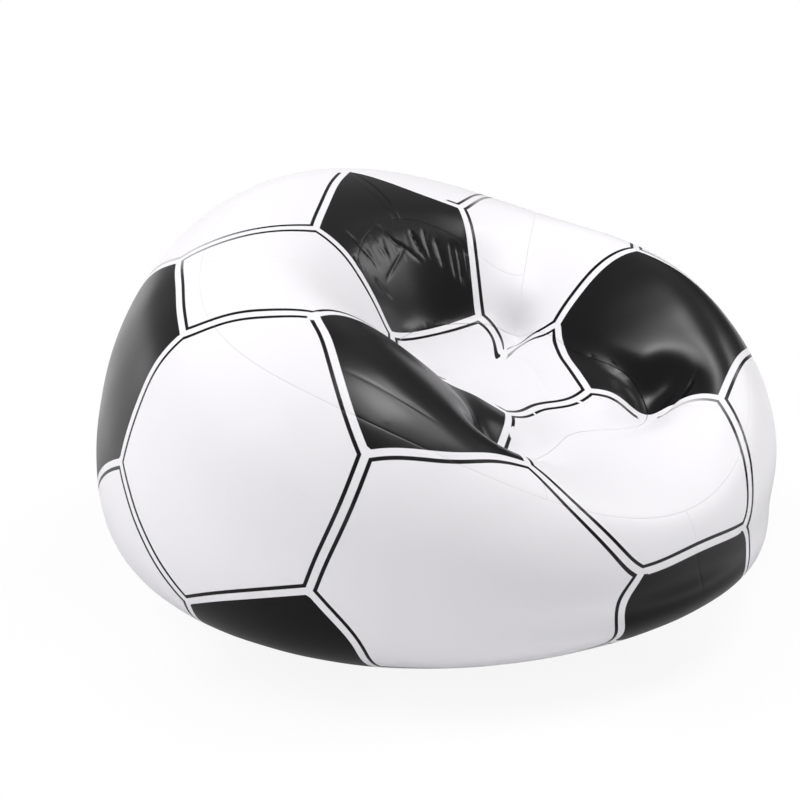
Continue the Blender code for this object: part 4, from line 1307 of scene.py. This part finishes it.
class ARMCHAIR_OT_valve(bpy.types.Operator):
    """Build the valve: patch, base, stopper, cap, flap and clip."""

    bl_idname = "armchair.valve"
    bl_label = "Valve"

    def execute(self, context):
        """Build the six pieces and replace their solids."""
        gap = sizes().gap
        patch_top = -sizes().film - gap
        patch_bottom = patch_top - PATCH_THICKNESS
        flange_top = patch_bottom - gap
        flange_bottom = flange_top - FLANGE_THICKNESS
        lip_bottom = NECK_HEIGHT + gap
        lip_top = lip_bottom + MOULDED_WALL
        stopper_bottom = NECK_HEIGHT - STOPPER_DEPTH
        plate_top = stopper_bottom + MOULDED_WALL
        cap_bottom = lip_top + gap
        cap_top = cap_bottom + MOULDED_WALL
        plug_bottom = lip_top - CAP_PLUG_DEPTH
        flap_top = stopper_bottom - gap
        flap_bottom = flap_top - FLAP_THICKNESS
        neck = NECK_BORE_RADIUS + NECK_WALL
        lip = neck + STOPPER_LIP
        wide = NECK_BORE_RADIUS - gap
        narrow = wide - STOPPER_TAPER
        tube = CAP_TUBE_BORE_RADIUS + CAP_TUBE_WALL
        plug = CAP_TUBE_BORE_RADIUS - gap
        clip = -FLAP_HINGE_REACH - FLAP_THICKNESS - gap
        patch = [(neck + gap, patch_bottom), (PATCH_RADIUS, patch_bottom),
                 (PATCH_RADIUS, patch_top), (neck + gap, patch_top)]
        base = [(NECK_BORE_RADIUS, flange_bottom), (FLANGE_RADIUS, flange_bottom),
                (FLANGE_RADIUS, flange_top), (neck, flange_top), (neck, NECK_HEIGHT),
                (NECK_BORE_RADIUS, NECK_HEIGHT)]
        stopper = [(CAP_TUBE_BORE_RADIUS, stopper_bottom), (narrow, stopper_bottom),
                   (wide, lip_bottom), (lip, lip_bottom), (lip, lip_top),
                   (wide - MOULDED_WALL, lip_top), (narrow - MOULDED_WALL, plate_top),
                   (tube, plate_top), (tube, lip_top), (CAP_TUBE_BORE_RADIUS, lip_top)]
        cap = [(0.0, plug_bottom), (plug - CAP_PLUG_TAPER, plug_bottom), (plug, cap_bottom),
               (CAP_RADIUS, cap_bottom), (CAP_RADIUS, cap_top), (CAP_DISH_RADIUS, cap_top),
               (CAP_DISH_RADIUS - CAP_DISH_DEPTH, cap_top - CAP_DISH_DEPTH),
               (0.0, cap_top - CAP_DISH_DEPTH)]
        flap = [(0.0, flap_bottom), (FLAP_RADIUS, flap_bottom), (FLAP_RADIUS, flap_top),
                (0.0, flap_top)]
        ear = strap_mesh(STRAP_WIDTH, -STOPPER_HINGE_REACH + 2 * gap, -neck + NECK_WALL / 2,
                         NECK_HEIGHT - MOULDED_WALL, NECK_HEIGHT)
        stopper_strap = strap_mesh(STRAP_WIDTH, -STOPPER_HINGE_REACH, -neck, lip_bottom, lip_top)
        cap_strap = strap_mesh(PULL_TAB_WIDTH, -CAP_RADIUS - PULL_TAB_LENGTH, lip + gap,
                               cap_bottom, cap_top, round_start=True)
        flap_tab = strap_mesh(FLAP_TAB_WIDTH, -FLAP_HINGE_REACH, -FLAP_RADIUS / 2,
                              flap_bottom, flap_top)
        clip_block = strap_mesh(FLAP_TAB_WIDTH, clip - FLAP_CLIP_LENGTH, clip,
                                flap_bottom, flap_top)
        for name, body, *shapes in (
                ("valve_patch", "chamber", turned_mesh(patch, True)),
                ("valve_base", "chamber", turned_mesh(base, True), ear),
                ("valve_stopper", "stopper", turned_mesh(stopper, True), stopper_strap),
                ("valve_cap", "cap", turned_mesh(cap, False), cap_strap),
                ("valve_flap", "flap", turned_mesh(flap, False), flap_tab),
                ("flap_clip", "stopper", clip_block)):
            material, slot = valve_vinyl, "valve_vinyl"
            if name == "valve_flap":
                material, slot = flap_vinyl, "flap_vinyl"
            valve_piece(name, shapes, material(), body)
        return {"FINISHED"}


# The stage

# The camera: its azimuth and elevation, distance, how far it stands aside, and lens
CAMERA_AZIMUTH, CAMERA_ELEVATION = -42.53, 16.37
CAMERA_DISTANCE, CAMERA_ASIDE, CAMERA_AIM_HEIGHT = 2.31, -0.0586, 0.303
CAMERA_LENS_MM, SENSOR_MM = 62.4, 36.0

# Lamps that face the chair: azimuth and elevation of their middles, angular width and
# height, brightness against the white background, and whether the film mirrors them
LAMP_DISTANCE = 5.0
LAMPS = {
    "right_lamp": (64.0, 28.5, 25.0, 16.0, 4.8, True),
    "left_fill": (-125.0, 38.0, 60.0, 50.0, 2.4, False),
}

# The level panel of light above, and its bright cores, which only reflections show:
# middle, sides and brightness
PANEL = (0.40, -1.13, 3.35), (3.0, 1.35), 5.0
CORES = (((0.05, -1.27, 3.34), (1.15, 0.60), 9.4), ((1.25, -0.85, 3.34), (0.45, 0.45), 6.5))

# The floor: its size, how white the camera and reflections see it, and how far its
# shadow reaches
FLOOR_SIZE, FLOOR_ROUGHNESS = 40.0, 0.9
FLOOR_WHITE_SHARE, FLOOR_SHINE_SHARE, FLOOR_SHINE = 0.90, 0.80, 0.25
SHADOW_REACH, CLEAR_REACH = 0.7, 1.6
HORIZON_SINE = 0.08

# A dark screen that only reflections show: azimuth, elevation, and the cosines of
# the angles at which it ends and starts
SCREEN_AZIMUTH, SCREEN_ELEVATION = 102.0, 2.0
SCREEN_EDGE, SCREEN_CORE, SCREEN_DEPTH = 0.80, 0.96, 0.8


def directions(azimuth, elevation):
    """Return the unit vectors to the right of and back towards a viewer."""
    turn, tilt = math.radians(azimuth), math.radians(elevation)
    right = Vector((math.cos(turn), math.sin(turn), 0.0))
    back = Vector((math.sin(turn) * math.cos(tilt), -math.cos(turn) * math.cos(tilt),
                   math.sin(tilt)))
    return right, back


def stand(name, data, place, back):
    """Put a lamp or camera in the scene, facing away from a direction."""
    stood = bpy.data.objects.new(name, data)
    stood.location = place
    stood.rotation_mode = "QUATERNION"
    stood.rotation_quaternion = back.to_track_quat("Z", "Y")
    bpy.context.scene.collection.objects.link(stood)
    return stood


def add_lamp(name, place, back, sides, brightness, mirrored, lights=True):
    """Add a rectangular lamp that faces away from a direction.

    Its power is pi times its area times its brightness.
    """
    light = bpy.data.lights.new(name, "AREA")
    light.shape = "RECTANGLE"
    light.size, light.size_y = sides
    light.energy = math.pi * light.size * light.size_y * brightness
    lamp = stand(name, light, place, back)
    lamp.visible_glossy = mirrored
    lamp.visible_diffuse = lights


def add_facing_lamp(name, azimuth, elevation, wide, high, brightness, mirrored):
    """Add a lamp that faces the chair, with sides of 2 distance tan(half angle)."""
    _, back = directions(azimuth, elevation)
    place = Vector((0.0, 0.0, CAMERA_AIM_HEIGHT)) + back * LAMP_DISTANCE
    sides = [2 * LAMP_DISTANCE * math.tan(math.radians(angle / 2)) for angle in (wide, high)]
    add_lamp(name, place, back, sides, brightness, mirrored)


def ray_kinds(recipe):
    """Return 1 for rays from the camera, and 1 for those that gloss or glass sends on."""
    path = recipe.node("ShaderNodeLightPath")
    camera, glossy, through = (Value(recipe, path.outputs[f"Is {kind} Ray"])
                               for kind in ("Camera", "Glossy", "Transmission"))
    return camera, glossy.most(through)


class ARMCHAIR_OT_floor(bpy.types.Operator):
    """Build the floor, a pale sheet that fades to white and keeps a trace of the shadow."""

    bl_idname = "armchair.floor"
    bl_label = "Floor"

    def execute(self, context):
        """Add the floor."""
        half = FLOOR_SIZE / 2
        mesh = bpy.data.meshes.new("floor")
        mesh.from_pydata([(-half, -half, 0), (half, -half, 0), (half, half, 0), (-half, half, 0)],
                         [], [(0, 1, 2, 3)])
        floor = bpy.data.objects.new("floor", mesh)
        material = bpy.data.materials.new("floor_paper")
        recipe = Recipe(material)
        recipe.dress({"Base Color": context.scene.chair_stage.floor,
                      "Roughness": FLOOR_ROUGHNESS})
        place = recipe.node("ShaderNodeTexCoord").outputs["Object"]
        away = recipe.value("ShaderNodeVectorMath", "Value", {"operation": "LENGTH"}, {0: place})
        far = away.over((SHADOW_REACH + CLEAR_REACH) / 2, CLEAR_REACH - SHADOW_REACH)
        camera, shine = ray_kinds(recipe)
        near = camera * FLOOR_WHITE_SHARE + shine * FLOOR_SHINE_SHARE
        share = near + camera.most(shine) * far * (1 - near)
        strength = 1 - shine * (1 - far) * (1 - FLOOR_SHINE)
        white = recipe.node("ShaderNodeEmission", {}, {"Color": (1.0, 1.0, 1.0),
                                                       "Strength": strength})
        mix = recipe.node("ShaderNodeMixShader", {}, {0: share, 1: recipe.shader.outputs[0],
                                                      2: white.outputs[0]})
        recipe.feed(material.node_tree.nodes["Material Output"].inputs["Surface"],
                    mix.outputs[0])
        mesh.materials.append(material)
        context.scene.collection.objects.link(floor)
        return {"FINISHED"}


class ARMCHAIR_OT_stage(bpy.types.Operator):
    """Build the lamps, the studio around the chair and the camera."""

    bl_idname = "armchair.stage"
    bl_label = "Stage"

    def execute(self, context):
        """Add the world, the lamps and the camera."""
        scene = context.scene
        stage = scene.chair_stage
        world = bpy.data.worlds.new("studio")
        scene.world = world
        recipe = Recipe(world)
        sky = world.node_tree.nodes["Background"]
        way = recipe.node("ShaderNodeTexCoord").outputs["Generated"]
        height = recipe.value("ShaderNodeSeparateXYZ", "Z", {}, {0: way})
        above = height.over(HORIZON_SINE, 1.5 * HORIZON_SINE)
        _, screen = directions(SCREEN_AZIMUTH, SCREEN_ELEVATION)
        facing = recipe.value("ShaderNodeVectorMath", "Value", {"operation": "DOT_PRODUCT"},
                              {0: way, 1: screen})
        dark = facing.over((SCREEN_EDGE + SCREEN_CORE) / 2, SCREEN_CORE - SCREEN_EDGE)
        mirrored = (1 - above * (1 - stage.ceiling)) * (1 - SCREEN_DEPTH * dark)
        camera, shine = ray_kinds(recipe)
        around = shine * mirrored + (1 - shine) * stage.fill
        recipe.feed(sky.inputs["Strength"], camera + (1 - camera) * around)
        sky.inputs["Color"].default_value = (1.0, 1.0, 1.0, 1.0)
        for name, (*place, brightness, seen) in LAMPS.items():
            add_facing_lamp(name, *place, brightness * stage.lamps, seen)
        for number, (middle, sides, brightness) in enumerate((PANEL, *CORES)):
            name = f"panel_core_{number - 1}" if number else "overhead_panel"
            add_lamp(name, Vector(middle), Vector((0.0, 0.0, 1.0)), sides,
                     brightness * stage.lamps, True, lights=number == 0)
        right, back = directions(CAMERA_AZIMUTH, CAMERA_ELEVATION)
        data = bpy.data.cameras.new("camera")
        data.sensor_width = SENSOR_MM
        data.lens = CAMERA_LENS_MM
        place = Vector((0.0, 0.0, CAMERA_AIM_HEIGHT))
        scene.camera = stand("camera", data, right * CAMERA_ASIDE + place + back * CAMERA_DISTANCE,
                             back)
        scene.view_settings.view_transform = "Standard"
        return {"FINISHED"}


OPERATORS = (ARMCHAIR_OT_stage, ARMCHAIR_OT_floor, ARMCHAIR_OT_seat, ARMCHAIR_OT_back,
             ARMCHAIR_OT_arms, ARMCHAIR_OT_walls, ARMCHAIR_OT_base, ARMCHAIR_OT_webs,
             ARMCHAIR_OT_valve)


class ARMCHAIR_PT_panel(bpy.types.Panel):
    """List the armchair's sizes, colours and pieces in the sidebar."""

    bl_label = "Inflatable armchair"
    bl_idname = "ARMCHAIR_PT_panel"
    bl_space_type = "VIEW_3D"
    bl_region_type = "UI"
    bl_category = "Armchair"

    def draw(self, context):
        """Draw the settings, then a button for each piece."""
        for name in ("chair_sizes", "chair_finish", "chair_stage"):
            group = getattr(context.scene, name)
            box = self.layout.box()
            for setting in group.__annotations__:
                box.prop(group, setting)
        for operator in OPERATORS:
            self.layout.operator(operator.bl_idname)


GROUPS = {"chair_sizes": ChairSizes, "chair_finish": ChairFinish, "chair_stage": ChairStage}


def register():
    """Register the settings, the operators and the panel."""
    for name, group in GROUPS.items():
        bpy.utils.register_class(group)
        setattr(bpy.types.Scene, name, bpy.props.PointerProperty(type=group))
    for operator in (*OPERATORS, ARMCHAIR_PT_panel):
        bpy.utils.register_class(operator)


def unregister():
    """Remove the panel, the operators and the settings."""
    for operator in (ARMCHAIR_PT_panel, *reversed(OPERATORS)):
        bpy.utils.unregister_class(operator)
    for name, group in reversed(GROUPS.items()):
        delattr(bpy.types.Scene, name)
        bpy.utils.unregister_class(group)


def main():
    """Build everything."""
    register()
    bpy.ops.armchair.stage()
    bpy.ops.armchair.floor()
    bpy.ops.armchair.seat()
    bpy.ops.armchair.back()
    bpy.ops.armchair.arms()
    bpy.ops.armchair.walls()
    bpy.ops.armchair.base()
    bpy.ops.armchair.webs()
    bpy.ops.armchair.valve()


if __name__ == "__main__":
    main()
